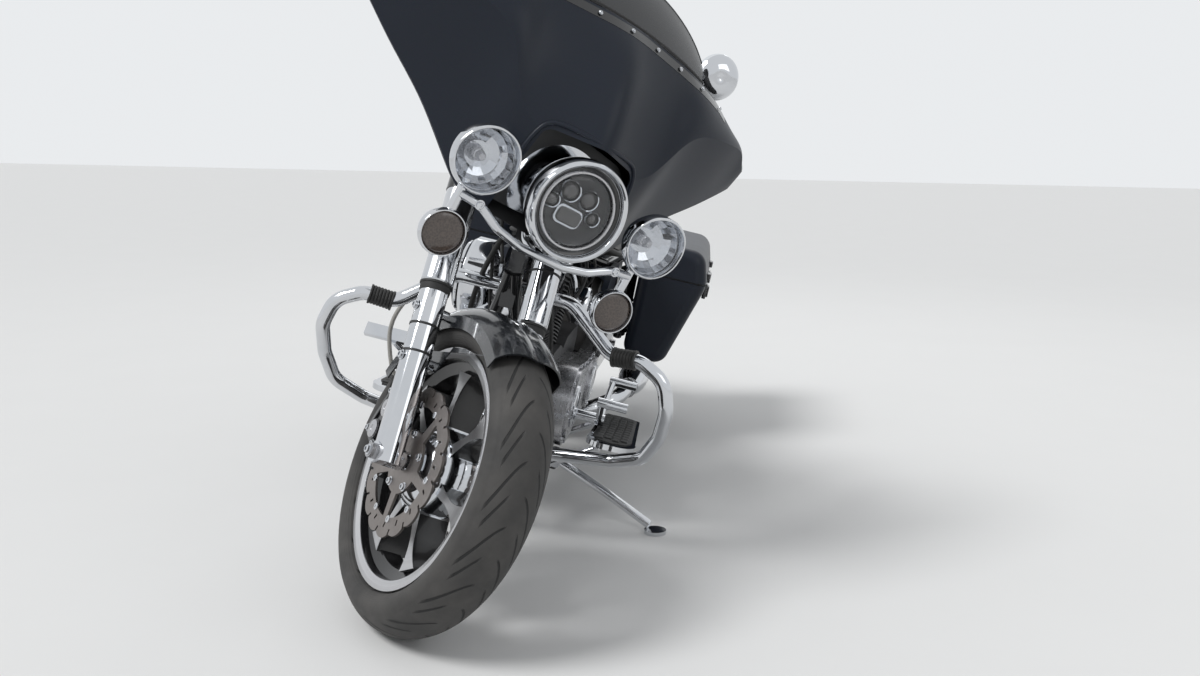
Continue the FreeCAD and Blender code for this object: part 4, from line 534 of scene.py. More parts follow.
# a grid whose points lie on rows of points
def gridPiece(name, rows):
    startFresh()
    across = len(rows[0])
    bpy.ops.mesh.primitive_grid_add(x_subdivisions=across - 1, y_subdivisions=len(rows) - 1, size=1)
    piece = named(name)
    for n, vertex in enumerate(piece.data.vertices):
        vertex.co = rows[n // across][n % across]
    return piece


# one modelled piece copied to each place, each copy with its own mesh, and joined
def scatter(name, piece, places):
    copies = []
    for place in places:
        twin = piece.copy()
        twin.data = piece.data.copy()
        bpy.context.scene.collection.objects.link(twin)
        twin.matrix_world = place
        copies.append(twin)
    bpy.data.objects.remove(piece)
    return joined(name, copies)


# the material slot that a finish stands for, where a piece names no other
slots = {
    "chrome": "chrome", "polishedAlloy": "chrome", "castAlloy": "engine_alloy", "satinPaint": "body_plastic",
    "glossBlack": "black_plastic", "mouldedBlack": "black_plastic", "speakerMesh": "black_plastic",
    "softRubber": "rubber", "grainLeather": "leather", "stitchThread": "leather", "clearLens": "lens",
    "smokedLens": "lens", "darkGlass": "lens", "redLens": "tail_lens", "smokedScreen": "tinted_screen",
    "plateAlloy": "plate",
}


# a finished piece: smooth where its angles are low, with its finish and body
def give(piece, look="chrome", body="frame", slot=None, angle=35):
    piece.data.materials.clear()
    piece.data.materials.append(finish[look])
    startFresh()
    piece.select_set(True)
    bpy.context.view_layer.objects.active = piece
    bpy.ops.object.shade_smooth_by_angle(angle=math.radians(angle))
    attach(piece, body)
    slot or slots[look]
    return piece


# a domed head on a washer, with a socket in its top, in millimetres
def boltHead(r, h, place=None):
    return turnPiece("bolt", [(r * 1.35, 0), (r * 1.35, h * 0.2), (r, h * 0.22), (r, h * 0.8), (r * 0.82, h),
                              (r * 0.5, h), (r * 0.46, h * 0.55)], 12, place)


def giveBolts(name, radius, height, places, body="frame", look="chrome", slot=None):
    give(scatter(name, boltHead(radius, height), places), look, body, slot)


def roundedRectangle(width, height, round):
    corners = []
    for n, (sx, sy) in enumerate([(1, 1), (-1, 1), (-1, -1), (1, -1)]):
        for step in range(5):
            angle = math.radians(90 * n + 22.5 * step)
            corners.append((sx * (width / 2 - round) + round * math.cos(angle),
                            sy * (height / 2 - round) + round * math.sin(angle)))
    return corners


# a ring's front edge drawn out towards its top, as a hood
def hooded(ring, radius, rise, power):
    for vertex in ring.data.vertices:
        up = -vertex.co.x / radius
        if vertex.co.z > 0 and up > 0:
            vertex.co.z += rise * up ** power
    return ring


# headlamp: hooded ring, black gap, silver ring and the lamp cluster behind its lens
headlamp = {
    "ring": [(88.5, -12), (88.5, 4), (90.3, 9.5), (94, 12.5), (98.5, 10.5), (101.6, 4), (101.9, -10),
             (99.5, -13.5)],
    "gap": [(88, -13), (88, -3), (83.5, -5.5), (79.5, -4.5), (79, -13)],
    "inner": [(79.2, -13), (79.2, -1.5), (77, 1.2), (73.5, 0.8), (71, -3), (70.2, -13)],
    "lens": [(70, -10), (70.4, -6.8), (69, -4.5), (56, -2), (38, -0.4), (19, 0.4), (2, 0.6)],
    "bezel": [(79, -40), (79, -34), (74.5, -31), (70, -33.5), (25, -33.5), (2, -33.5)],
    "modules": [(0.026, 0.021, 16.5), (0.026, -0.021, 16.5), (-0.003, 0.047, 11), (-0.003, -0.047, 11)],
    "lowerPlace": (0.019, 0, -0.034),
}


def buildHeadlamp(h):
    ring = hooded(hoopPiece("headlampRing", h["ring"], 72), 0.1, 0.01, 2)
    give(placed(ring, headPlace), body="front_end")
    give(hoopPiece("headlampGap", h["gap"], 72, headPlace), "glossBlack", "front_end")
    give(hoopPiece("headlampInnerRing", h["inner"], 72, headPlace), "polishedAlloy", "front_end")
    lens = give(turnPiece("headlampLens", h["lens"], 64, headPlace), "clearLens", "front_end", angle=60)
    give(turnPiece("headlampBezel", h["bezel"], 64, headPlace), "glossBlack", "front_end")
    rims, eyes = [], []
    for up, aside, r in h["modules"]:
        here = placeAt(headPlace, (-up, aside, 0))
        rim = [(r, -34), (r + 2.2, -25), (r + 4, -23.5), (r + 5.2, -26), (r + 6, -34)]
        eye = [(r, -33.8), (r, -28.5), (r * 0.86, -24.5), (r * 0.55, -21.5), (r * 0.18, -20.5)]
        rims.append(hoopPiece("moduleRim", rim, 28, here))
        eyes.append(turnPiece("moduleEye", eye, 28, here))
    here = placeAt(headPlace, h["lowerPlace"])
    eyes.append(platePiece("lowerEye", roundedRectangle(0.03, 0.052, 0.01), 0.0095, 0.0025, here))
    rims.append(platePiece("lowerRim", roundedRectangle(0.038, 0.06, 0.013), 0.005, 0.0014, here))
    give(joined("headlampModuleRims", rims), body="front_end")
    give(joined("headlampModules", eyes), "darkGlass", "front_end", angle=50)
    return lens


lensPieces = [buildHeadlamp(headlamp)]

# spot lamps and signals on the chrome bar
spotLamp = {
    "place": (0.765, 0.205, 0.902),
    "ring": [(59.8, -11), (59.8, 3), (61.5, 7), (64, 7.5), (66.2, 4), (66.4, -13), (64.5, -15)],
    "bowl": [(57, -15), (50, -30), (38, -41.5), (24, -49), (10, -52), (10, -54.5), (24, -52), (39, -44.5),
             (51.5, -32.5), (58.5, -16.5)],
    "bulb": [(11, -53), (11, -40), (8.5, -38.5), (8.5, -29), (6, -25), (2, -24)],
    "lens": [(59.8, -9.5), (60, -6), (56, -3.5), (40, -0.5), (20, 1.2), (2, 1.6)],
}
signalLamp = {
    "place": (0.745, 0.205, 0.744),
    "ring": [(41.5, -9), (41.5, 1), (42.6, 4), (44.6, 4.2), (46.2, 1), (46.6, -9), (45, -11)],
    "lens": [(41.6, -8), (41.4, -3), (37, 0.5), (24, 3), (10, 4), (2, 4.1)],
}


def lampPlace(x, y, z, side):
    return placeAt(fork, (x, side * y, z), (90, "Y"))


def buildSpot(name, side, s):
    here = lampPlace(*s["place"], side)
    give(placed(hooded(hoopPiece(name + "Ring", s["ring"], 56), 0.065, 0.011, 1), here), body="front_end")
    give(hoopPiece(name + "Reflector", s["bowl"], 22, here), body="front_end", angle=5)
    give(turnPiece(name + "Bulb", s["bulb"], 20, here), "polishedAlloy", "front_end")
    return give(turnPiece(name + "Lens", s["lens"], 48, here), "clearLens", "front_end", angle=60)


def buildSignal(name, side, s):
    here = lampPlace(*s["place"], side)
    give(hoopPiece(name + "Ring", s["ring"], 44, here), body="front_end")
    return give(turnPiece(name + "Lens", s["lens"], 40, here), "smokedLens", "front_end", angle=60)


for word, side in (("left", 1), ("right", -1)):
    lensPieces.append(buildSpot(word + "Spot", side, spotLamp))
    lensPieces.append(buildSignal(word + "Signal", side, signalLamp))
for lens in lensPieces:
    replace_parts(lens, "lamp_lenses")

# nuts that hold the lamps on their bar
lampNuts = {"x": 0.744, "spots": ((0.165, 0.8205), (0.06, 0.7835)), "radius": 7.5, "height": 6}
nuts = [lampPlace(lampNuts["x"], y, z, side) for side in (1, -1) for y, z in lampNuts["spots"]]
giveBolts("lampBarNuts", lampNuts["radius"], lampNuts["height"], nuts, "front_end")
print("lamps built")

# fairing: the arch's rolled lip and the screwed trim below the screen
fairing = {
    "archHalf": [(0.1262, 0.868), (0.1275, 0.915), (0.125, 0.958), (0.119, 0.992), (0.1085, 1.015),
                 (0.088, 1.0255), (0.048, 1.0285)],
    "archTop": 1.029, "lip": 0.0046,
    "topEdge": [(0.0, 1.266), (0.045, 1.265), (0.1, 1.261), (0.165, 1.256), (0.215, 1.25), (0.3, 1.235),
                (0.39, 1.202)],
    "trimReach": 0.33, "trimHeights": (-0.005, -0.013, -0.021), "trimWall": 0.0028, "screwPitch": 0.075,
}


# where a line meets a node's surface, lifted off it, and the surface's direction there
def castOn(node, base, start, ahead, lift=0.0):
    hit, point, normal, _ = nodes[node].ray_cast(base @ Vector(start), base.to_3x3() @ Vector(ahead))
    if not hit:
        raise SystemExit("a piece's point misses " + node)
    return point + normal * lift, normal


def frontOn(y, z, lift):
    return castOn("fairing_shell", fork, (1.1, y, z), (-1, 0, 0), lift)


# the height at a place between stops of (place, height)
def along(stops, x):
    for (a, av), (b, bv) in zip(stops, stops[1:]):
        if x <= b:
            return av + (bv - av) * max(0.0, x - a) / (b - a)
    return stops[-1][1]


def buildFairingTrim(f):
    arch = [*f["archHalf"], (0.0, f["archTop"]), *[(-y, z) for y, z in reversed(f["archHalf"])]]
    lip = [frontOn(y, z, 0.0008)[0] for y, z in arch]
    give(rodPiece("archLip", lip, f["lip"], 4), "satinPaint", "front_end")
    asides = [f["trimReach"] * (n / 22 - 1) for n in range(45)]
    rows = [[frontOn(y, along(f["topEdge"], abs(y)) + drop, 0.0006)[0] for y in asides]
            for drop in f["trimHeights"]]
    trim = gridPiece("screenTrim", rows)
    wall = trim.modifiers.new("wall", "SOLIDIFY")
    wall.thickness, wall.offset = f["trimWall"], 1.0
    bpy.ops.object.modifier_apply(modifier="wall")
    shapeInEdit(trim)
    faceOut()
    bpy.ops.object.mode_set(mode="OBJECT")
    give(trim, "glossBlack", "front_end")
    heads = []
    for y in [n * f["screwPitch"] for n in range(-4, 5)]:
        heads.append(aimed(Matrix(), *frontOn(y, along(f["topEdge"], abs(y)) + f["trimHeights"][1], 0.003)))
    giveBolts("screenTrimScrews", 3.6, 3.0, heads, "front_end")


buildFairingTrim(fairing)

# screen: a rubber bead along its foot and a rolled upper edge, on the curve that the screen stands on
screen = {"half": 0.232, "footX": 0.602, "footZ": 1.2665, "sweepBack": 0.042, "sweepDown": 0.017,
          "sweepHalf": 0.235, "rise": 0.1, "riseHalf": 0.25, "leastRise": 0.04, "lean": 0.9}


def buildScreenBeads(s):
    for name, share, radius, look in (("screenFootBead", 0.03, 0.0042, "softRubber"),
                                      ("screenTopBead", 0.985, 0.003, "smokedScreen")):
        line = []
        for y in [s["half"] * (n / 13 - 1) for n in range(27)]:
            back = (y / s["sweepHalf"]) ** 2
            rise = share * s["rise"] * math.sqrt(max(s["leastRise"], 1 - (y / s["riseHalf"]) ** 2))
            line.append((s["footX"] - s["sweepBack"] * back - s["lean"] * rise, y,
                         s["footZ"] - s["sweepDown"] * back + rise))
        give(rodPiece(name, pointsIn(fork, line), radius), look, "front_end")


buildScreenBeads(screen)
print("fairing built")

# the rider's side of the fairing: dials and speakers, with their radius in millimetres
dash = {"dials": [(0.078, 1.145, 50), (-0.078, 1.145, 50), (0.028, 1.05, 24), (-0.028, 1.05, 24)],
        "speakers": [(0.215, 1.085, 58), (-0.215, 1.085, 58)],
        "back": (-1, 0, 0.25), "needleTurns": (205, 140)}


def backOn(y, z):
    return castOn("fairing_inner", fork, (0.3, y, z), (1, 0, 0))


def buildDash(d):
    back = fork.to_3x3() @ Vector(d["back"]).normalized()
    rims, needles, cups, meshes = [], [], [], []
    for n, (y, z, r) in enumerate(d["dials"]):
        here = aimed(Matrix(), backOn(y, z)[0], back)
        cups.append(turnPiece("dialCup", [(r + 6, -30), (r + 7, 10), (r + 4, 14), (r * 0.5, 14)], 44, here))
        rim = [(r - 1, 13), (r, 20), (r + 3, 22), (r + 6.5, 18), (r + 7, 10)]
        rims.append(hoopPiece("dialRim", rim, 44, here))
        name = f"dialFace{n}"
        finish[name] = dialFinish(name, here, r / 1000)
        face = turnPiece(name, [(r - 1, 14.1), (r - 1, 15.2), (r * 0.4, 15.3), (2, 15.3)], 44, here)
        give(face, name, "front_end", "black_plastic")
        turn = d["needleTurns"][0] if r > 30 else d["needleTurns"][1]
        needles.append(blockPiece("needle", (-0.0012, -0.004, 0), (0.0012, r * 0.00072, 0.0012), 0.0003,
                                  place=placeAt(here, (0, 0, 0.016), (turn, "Z"))))
    for y, z, r in d["speakers"]:
        here = aimed(Matrix(), *backOn(y, z))
        ring = [(r, -12), (r, 6), (r + 3, 9), (r + 8, 6), (r + 11, -12)]
        dome = [(r + 1, -10), (r + 1, 1), (r * 0.7, 5), (r * 0.3, 7), (2, 7.5)]
        cups.append(hoopPiece("speakerRing", ring, 44, here))
        meshes.append(turnPiece("speakerDome", dome, 40, here))
    give(joined("dialCups", cups), "mouldedBlack", "front_end")
    give(joined("dialRims", rims), body="front_end")
    give(joined("dialNeedles", needles), "plateAlloy", "front_end")
    give(joined("speakerGrilles", meshes), "speakerMesh", "front_end", angle=60)


buildDash(dash)
print("dash built")

# fork: dust seals, cable ties, clamp bolts and caps, with heights up the leg
forkParts = {
    "seal": [(27.5, 336), (30.2, 336), (31.2, 342), (31.2, 349), (33.5, 350.5), (33.5, 354), (27.5, 354.5)],
    "ties": ((29.2, 205), (29.2, 262), (33.2, 470)),
    "cap": [(16.5, 798), (17.5, 802), (17.5, 808), (12, 811), (11, 816)],
    "bolts": [(0, 0.029, 0.195), (0, 0.029, 0.3), (-0.036, -0.001, 0.09), (-0.036, -0.001, 0.145),
              (0, 0.04, 0)],
    "axleBolt": (-0.022, 0.012, -0.004),
}


def buildFork(f):
    seals, bolts, ties, caps = [], [], [], []
    for side, leg in legs.items():
        seals.append(hoopPiece("dustSeal", f["seal"], 40, leg))
        for r, h in f["ties"]:
            ties.append(hoopPiece("tie", [(r, h), (r + 1.3, h), (r + 1.3, h + 4.5), (r, h + 4.5)], 40, leg))
            start, end = Vector((-r - 5.5, -3, h - 0.8)) / 1000, Vector((-r + 0.5, 3, h + 5.3)) / 1000
            ties.append(blockPiece("tieHead", start, end, 0.0008, place=leg))
        caps.append(turnPiece("forkCap", f["cap"], 6, leg))
        bolts += [aimed(leg, (x, side * y, z), (0, side, 0)) for x, y, z in f["bolts"]]
        x, y, z = f["axleBolt"]
        bolts.append(aimed(leg, (x, side * y, z), (-1, 0, 0)))
    give(joined("dustSeals", seals), "softRubber", "front_end")
    give(joined("cableTies", ties), "mouldedBlack", "front_end")
    giveBolts("forkBolts", 7.8, 7.5, bolts, "front_end")
    give(joined("forkCaps", caps), body="front_end")


buildFork(forkParts)

# calipers: bolts, piston caps, a bridge and a bleed nipple
calipers = {
    "turn": -50, "face": 0.104, "boltsAhead": (-0.048, 0.048), "boltsUp": (0.108, 0.164),
    "cap": [(18.5, 0), (18.5, 3), (15, 4.5), (8, 4.5), (7, 3)], "capsAhead": (-0.027, 0.027), "capUp": 0.128,
    "bleeder": [(4.5, 0), (4.5, 8), (2.8, 9), (2.8, 17)],
}


def buildCalipers(c):
    heads, covers, ribs = [], [], []
    for side, leg in legs.items():
        block = placeAt(leg, (0, 0, 0), (c["turn"], "Y"))
        outer = side * (c["face"] - stance["forkHalf"])
        heads += [aimed(block, (x, outer, z), (0, side, 0)) for x in c["boltsAhead"] for z in c["boltsUp"]]
        for x in c["capsAhead"]:
            here = aimed(block, (x, outer + side * 0.007, c["capUp"]), (0, side, 0))
            covers.append(turnPiece("pistonCap", c["cap"], 28, here))
        start, end = (-0.05, outer, 0.156), (0.05, outer + side * 0.004, 0.1625)
        ribs.append(blockPiece("bridge", start, end, 0.0015, place=block))
        here = placeAt(block, (0.05, outer - side * 0.01, 0.174))
        ribs.append(turnPiece("bleeder", c["bleeder"], 6, here))
    giveBolts("caliperBolts", 5.8, 6.0, heads, "front_end")
    give(joined("caliperCaps", covers), "polishedAlloy", "front_end", "polished_alloy")
    give(joined("caliperRibs", ribs), "glossBlack", "front_end", "black_casting")


buildCalipers(calipers)
print("fork and calipers built")

# bolts and pins of the discs and the pulley, and tyre valves
wheels = {
    "bolts": 0.056, "pulleyBolts": 0.035, "frontPins": 0.1135, "rearPins": 0.11,
    "frontFaces": (0.079, -0.079), "rearFace": -0.089, "pulleyFace": 0.122,
    "pin": [(7.2, 0), (7.2, 1.6), (5.6, 2.6), (3, 2.6), (2.6, 0.8)],
    "valve": [(6, 6), (6, 0), (4.2, -6), (4, -20), (4.8, -20.5), (4.8, -31), (3.6, -32.5)], "valveTurn": 26,
    "wells": {"front": (0.199, 0.018), "rear": (0.1735, 0.02)},
}


def buildWheelParts(w):
    def bolts(base, radius, y):
        return list(circle(base, (0, y, 0), radius, 5, math.copysign(1, y), 0.5))

    def givePins(name, base, radius, faces, body):
        pins = [p for y in faces for p in circle(base, (0, y, 0), radius, 10, math.copysign(1, y), 0.25)]
        give(scatter(name, turnPiece("discPin", w["pin"], 16), pins), body=body)

    front = [p for y in w["frontFaces"] for p in bolts(frontWheel, w["bolts"], y)]
    giveBolts("frontDiscBolts", 6.8, 6.5, front, "front_wheel")
    givePins("frontDiscPins", frontWheel, w["frontPins"], w["frontFaces"], "front_wheel")
    rear = bolts(rearWheel, w["bolts"], w["rearFace"]) + bolts(rearWheel, w["pulleyBolts"], w["pulleyFace"])
    giveBolts("rearWheelBolts", 7.2, 6.5, rear, "rear_wheel")
    givePins("rearDiscPins", rearWheel, w["rearPins"], [w["rearFace"]], "rear_wheel")
    turn = math.radians(w["valveTurn"])
    out = Vector((math.cos(turn), 0, math.sin(turn)))
    for name, base in (("front", frontWheel), ("rear", rearWheel)):
        well, aside = w["wells"][name]
        here = aimed(base, well * out + Vector((0, aside, 0)), out + Vector((0, -0.25, 0)))
        give(turnPiece(name + "Valve", w["valve"], 14, here), "softRubber", name + "_wheel")


buildWheelParts(wheels)
print("wheel parts built")

# handlebar: ribbed grips, end caps, switch buttons and reservoir lids
bars = {
    "end": (0.222, 0.428, 1.088), "start": (0.33, 0.318, 1.118), "gripLength": 0.128,
    "gripFoot": [(13.4, 0), (19, 0), (19.2, 4), (17.2, 5.5)], "ribs": 18, "ribPitch": 6.2,
    "gripEnd": [(17.6, 122.5), (18.8, 124), (18.8, 127), (13.4, 127.2)],
    "cap": [(15, 120), (17.2, 127.5), (17.2, 132.5), (14, 135.5), (6, 136)],
    "lid": [(19.8, 0), (20.4, 1.5), (20.4, 5), (18.8, 6.6), (6, 6.6)],
}


def buildBars(b):
    end, start = Vector(b["end"]), Vector(b["start"])
    out = (end - start).normalized()
    grips, caps, buttons, lids = [], [], [], []
    rings = list(b["gripFoot"])
    for n in range(b["ribs"]):
        z = 10 + n * b["ribPitch"]
        rings += [(16.5, z), (17.5, z + 1.2), (17.5, z + 4.4), (16.5, z + 5.4)]
    rings += b["gripEnd"]
    for side in (1, -1):
        def onBar(back, ahead=0.0, up=0.0):
            p = end - out * back + Vector((ahead, 0, up))
            return Vector((p.x, p.y * side, p.z))
        here = aimed(fork, onBar(b["gripLength"] - 0.006), (out.x, out.y * side, out.z))
        grips.append(hoopPiece("ribbedGrip", rings, 28, here))
        caps.append(turnPiece("barEnd", b["cap"], 28, here))
        housing = aimed(fork, onBar(b["gripLength"] + 0.021), (-1, 0, 0.25))
        for row in (-1, 0, 1):
            buttons.append(blockPiece("button", (-0.005, -0.0055, 0.0225), (0.005, 0.0055, 0.0262), 0.0012,
                                      place=placeAt(housing, (0.0125 * row, 0, -0.0015 * abs(row)))))
        lid = aimed(fork, onBar(b["gripLength"] + 0.022, 0.012, 0.044), (0.1, 0, 1))
        lids.append(turnPiece("reservoirLid", b["lid"], 30, lid))
        lids += [boltHead(2.6, 2.2, placeAt(lid, (0.0, 0.013 * n, 0.0062))) for n in (-1, 1)]
    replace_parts(give(joined("ribbedGrips", grips), "softRubber", "front_end"), "grips")
    give(joined("barEnds", caps), body="front_end")
    give(joined("switchButtons", buttons), "mouldedBlack", "front_end")
    give(joined("reservoirLids", lids), body="front_end")


buildBars(bars)
print("handlebar parts built")

# engine guard: a wrapped sleeve on each side's upper run, with end beads
guard = {"low": (0.486, 0.248, 0.561), "high": (0.504, 0.312, 0.57), "radius": 20.8, "bore": 16.3,
         "turns": 6, "from": 0.05, "share": 0.8}


def buildSleeves(g):
    pieces = []
    r, bore = g["radius"], g["bore"]
    for side in (1, -1):
        low, high = [Vector((v[0], side * v[1], v[2])) for v in (g["low"], g["high"])]
        length = (high - low).length * g["share"] * 1000
        step = (length - 11) / g["turns"]
        rings = [(bore, 0), (r + 1.2, 0), (r + 1.6, 3.5), (r, 5)]
        for z in [5.5 + n * step for n in range(g["turns"])]:
            rings += [(r - 1, z + step * 0.06), (r + 0.4, z + step * 0.3), (r + 0.4, z + step * 0.75),
                      (r - 1, z + step * 0.96)]
        rings += [(r + 1.6, length - 3.5), (r + 1.2, length), (bore, length)]
        pieces.append(hoopPiece("wrap", rings, 32, aimed(bike, low + (high - low) * g["from"], high - low)))
    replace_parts(give(joined("guardWraps", pieces), "grainLeather"), "guard_sleeves")


buildSleeves(guard)

# floorboards: a rubber mat of staggered pads inside a raised chrome edge
boards = {"aside": 0.278, "height": 0.262, "tilt": -3, "top": 0.014, "rows": 4, "rowPitch": 0.0205,
          "pads": 11, "padPitch": 0.0265, "padStart": -0.095, "padLast": 0.175, "stagger": 0.013,
          "mat": [(-0.103, -0.044), (0.165, -0.05), (0.2, -0.036), (0.214, 0.0), (0.2, 0.036),
                  (0.165, 0.05), (-0.103, 0.044), (-0.112, 0.0)]}


def buildBoards(b):
    pads = []
    for side in (1, -1):
        here = placeAt(bike, (0, side * b["aside"], b["height"]), (b["tilt"], "Y"))
        pads.append(platePiece("mat", b["mat"], 0.0022, 0.0008, placeAt(here, (0, 0, b["top"]))))
        top = placeAt(here, (0, 0, b["top"] + 0.001))
        for row in range(b["rows"]):
            y = (row - (b["rows"] - 1) / 2) * b["rowPitch"]
            for n in range(b["pads"]):
                x = b["padStart"] + n * b["padPitch"] + b["stagger"] * (row % 2)
                if x <= b["padLast"]:
                    start, end = (x, y - 0.0085, 0.0), (x + 0.0232, y + 0.0085, 0.0048)
                    pads.append(blockPiece("pad", start, end, 0.0012, 1, top))
    give(joined("boardMats", pads), "softRubber")


buildBoards(boards)
print("guard and boards built")

# engine: rocker bolts, spark leads, cover bolts and domes, horn, filter and the finned regulator
engine = {
    "crank": (0.11, 0, 0.33), "angle": 22.5,
    "plugBoot": [(7.5, -12), (10.5, -10), (10.5, 0), (8.5, 3), (8.5, 28), (7, 36), (4.5, 40)],
    "primary": [(110, 224), (186, 254), (218, 330), (186, 406), (110, 436), (25, 424), (-60, 412),
                (-143, 408), (-226, 404), (-278, 382), (-300, 330), (-278, 278), (-226, 256), (-143, 248),
                (-60, 240), (25, 232)],
    "primaryMiddle": (-30, 330), "primaryShare": 0.952, "primaryFace": 0.154,
    "gears": [(-0.085, 0.25), (-0.072, 0.42), (-0.18, 0.436), (-0.268, 0.412), (-0.286, 0.33),
              (-0.268, 0.248), (-0.18, 0.232), (-0.055, 0.33)],
    "gearFace": -0.109, "derby": (-0.178, 0.17, 0.33), "timer": (0.11, -0.117, 0.345),
    "filter": (0.11, -0.181, 0.59),
}
domes = {
    "derbyDome": ((-0.178, 0.17, 0.33), 56, [(52, -1), (52, 2), (49, 4.2), (36, 5.2), (34, 4), (6, 4.6)]),
    "timerCover": ((0.11, -0.117, 0.345), 48, [(41, -1), (41, 4), (38, 6.2), (28, 7), (26, 5.2), (4, 5.8)]),
    "clutchCover": ((-0.18, -0.109, 0.332), 56,
                    [(62, -1), (62, 7), (58, 10), (44, 12.5), (42, 10.5), (4, 11)]),
    "noseCover": ((0.11, 0.162, 0.33), 56, [(56, -1), (56, 3), (53, 5.5), (40, 6.5), (38, 5), (4, 5.6)]),
    "filterFace": (engine["filter"], 64, [(90, -1), (90, 3), (86, 7), (68, 9), (66, 7), (30, 7), (28, 9.5),
                                          (24, 10.5), (3, 11)]),
}


def buildTopEnd(e):
    bolts, studs, boots, leads = [], [], [], []
    middle = e["crank"][0]
    for way in (1, -1):
        barrel = placeAt(bike, e["crank"], (way * e["angle"], "Y"))
        bolts += [placeAt(barrel, (x, y, 0.366)) for x in (-0.05, 0.05) for y in (-0.042, 0.042)]
        studs += [placeAt(barrel, (x, y, 0.352)) for x in (0.069, -0.069) for y in (0.034, -0.034)]
        boots.append(turnPiece("plugBoot", e["plugBoot"], 20,
                               aimed(barrel, (0.02 * way, 0.064, 0.29), (0, 1, 0.35))))
        line = pointsIn(barrel, [(0.02 * way, 0.1, 0.304), (0.018 * way, 0.124, 0.33)])
        line += pointsIn(bike, [(middle + way * 0.075, 0.128, 0.69), (middle + way * 0.03, 0.094, 0.74),
                                (middle + way * 0.02, 0.05, 0.765)])
        leads.append(rodPiece("sparkLead", line, 0.0036))
    giveBolts("rockerBolts", 5.8, 6.0, bolts)
    giveBolts("rockerStuds", 3.8, 5.0, studs)
    give(joined("sparkBoots", boots), "softRubber")
    give(joined("sparkLeads", leads), "softRubber", angle=60)


def buildCovers(e):
    heads = [*circle(bike, e["derby"], 0.06, 5, 1), *circle(bike, e["timer"], 0.052, 6, -1)]
    for point in e["primary"]:
        x, z = [(m + (v - m) * e["primaryShare"]) / 1000 for v, m in zip(point, e["primaryMiddle"])]
        heads.append(aimed(bike, (x, e["primaryFace"], z), (0, 1, 0)))
    heads += [aimed(bike, (x, e["gearFace"], z), (0, -1, 0)) for x, z in e["gears"]]
    giveBolts("coverBolts", 4.4, 5.0, heads)
    made = {name: turnPiece(name, rings, steps, aimed(bike, point, (0, math.copysign(1, point[1]), 0)))
            for name, (point, steps, rings) in domes.items()}
    give(made.pop("filterFace"))
    give(joined("engineDiscs", list(made.values())))
    screws = circle(bike, Vector(e["filter"]) - Vector((0, 0.0085, 0)), 0.077, 3, -1, 0.25)
    giveBolts("filterScrews", 4.2, 4.0, screws, look="polishedAlloy", slot="polished_alloy")


buildTopEnd(engine)
buildCovers(engine)

# between the down tubes and on the engine's left: filter, regulator, horn and the hoses of the neck
clutter = {
    "oilFilter": [(36, -10), (38.5, -6), (38.5, 60), (37, 68), (30, 74), (18, 76), (16, 73), (3, 73.5)],
    "horn": [(30, -30), (44, -22), (50, -4), (50.5, 4), (47, 10), (38, 12), (36, 8.5), (22, 8.5), (20, 12),
             (3, 13.5)],
    "bracket": [(0.11, 0.104, 0.6), (0.11, 0.09, 0.65), (0.11, 0.052, 0.7), (0.11, 0.018, 0.76)],
    "fins": 9, "finPitch": 0.0115, "finHalf": 0.0016,
    "regulatorPlace": (0.402, 0, 0.405), "regulatorTurn": -17,
    "hoses": [(0.0062, [(0.5, -0.04, 0.76), (0.47, -0.07, 0.69), (0.44, -0.088, 0.6),
                        (0.395, -0.1, 0.51), (0.3, -0.094, 0.452), (0.2, -0.06, 0.444)]),
              (0.0048, [(0.492, 0.044, 0.77), (0.462, 0.072, 0.69), (0.43, 0.094, 0.6),
                        (0.38, 0.106, 0.5), (0.29, 0.092, 0.452), (0.205, 0.066, 0.444)]),
              (0.004, [(0.47, -0.06, 0.735), (0.462, -0.052, 0.65), (0.458, -0.036, 0.56),
                        (0.44, -0.022, 0.47), (0.424, -0.016, 0.43)]),
              (0.0034, [(0.474, 0.052, 0.76), (0.452, 0.06, 0.66), (0.446, 0.034, 0.56),
                        (0.432, 0.02, 0.45)]),
              (0.0055, [(0.486, 0.05, 0.87), (0.456, 0.06, 0.81), (0.446, 0.054, 0.74),
                        (0.474, 0.04, 0.69)]),
              (0.0042, [(0.486, -0.05, 0.876), (0.45, -0.062, 0.81), (0.438, -0.05, 0.74),
                        (0.47, -0.034, 0.7)])],
}


def buildFrontClutter(c):
    give(turnPiece("oilFilter", c["oilFilter"], 44, aimed(bike, (0.232, 0.0, 0.3), (1, 0, 0.15))))
    fins = [blockPiece("finBase", (0.0, -0.052, -0.04), (0.012, 0.052, 0.04), 0.003)]
    for n in range(c["fins"]):
        y = -0.046 + n * c["finPitch"]
        fins.append(blockPiece("fin", (0.01, y - c["finHalf"], -0.038), (0.03, y + c["finHalf"], 0.038),
                               0.0009, 1))
    here = placeAt(bike, c["regulatorPlace"], (c["regulatorTurn"], "Y"))
    give(placed(joined("regulator", fins), here), "castAlloy")
    give(turnPiece("horn", c["horn"], 52, aimed(bike, (0.11, 0.128, 0.585), (0, 1, 0))))
    give(rodPiece("hornBracket", pointsIn(bike, c["bracket"]), 0.0065), angle=60)
    hoses = [rodPiece("hose", pointsIn(bike, line), radius) for radius, line in c["hoses"]]
    give(joined("neckHoses", hoses), "softRubber", angle=60)


buildFrontClutter(clutter)
print("engine parts built")

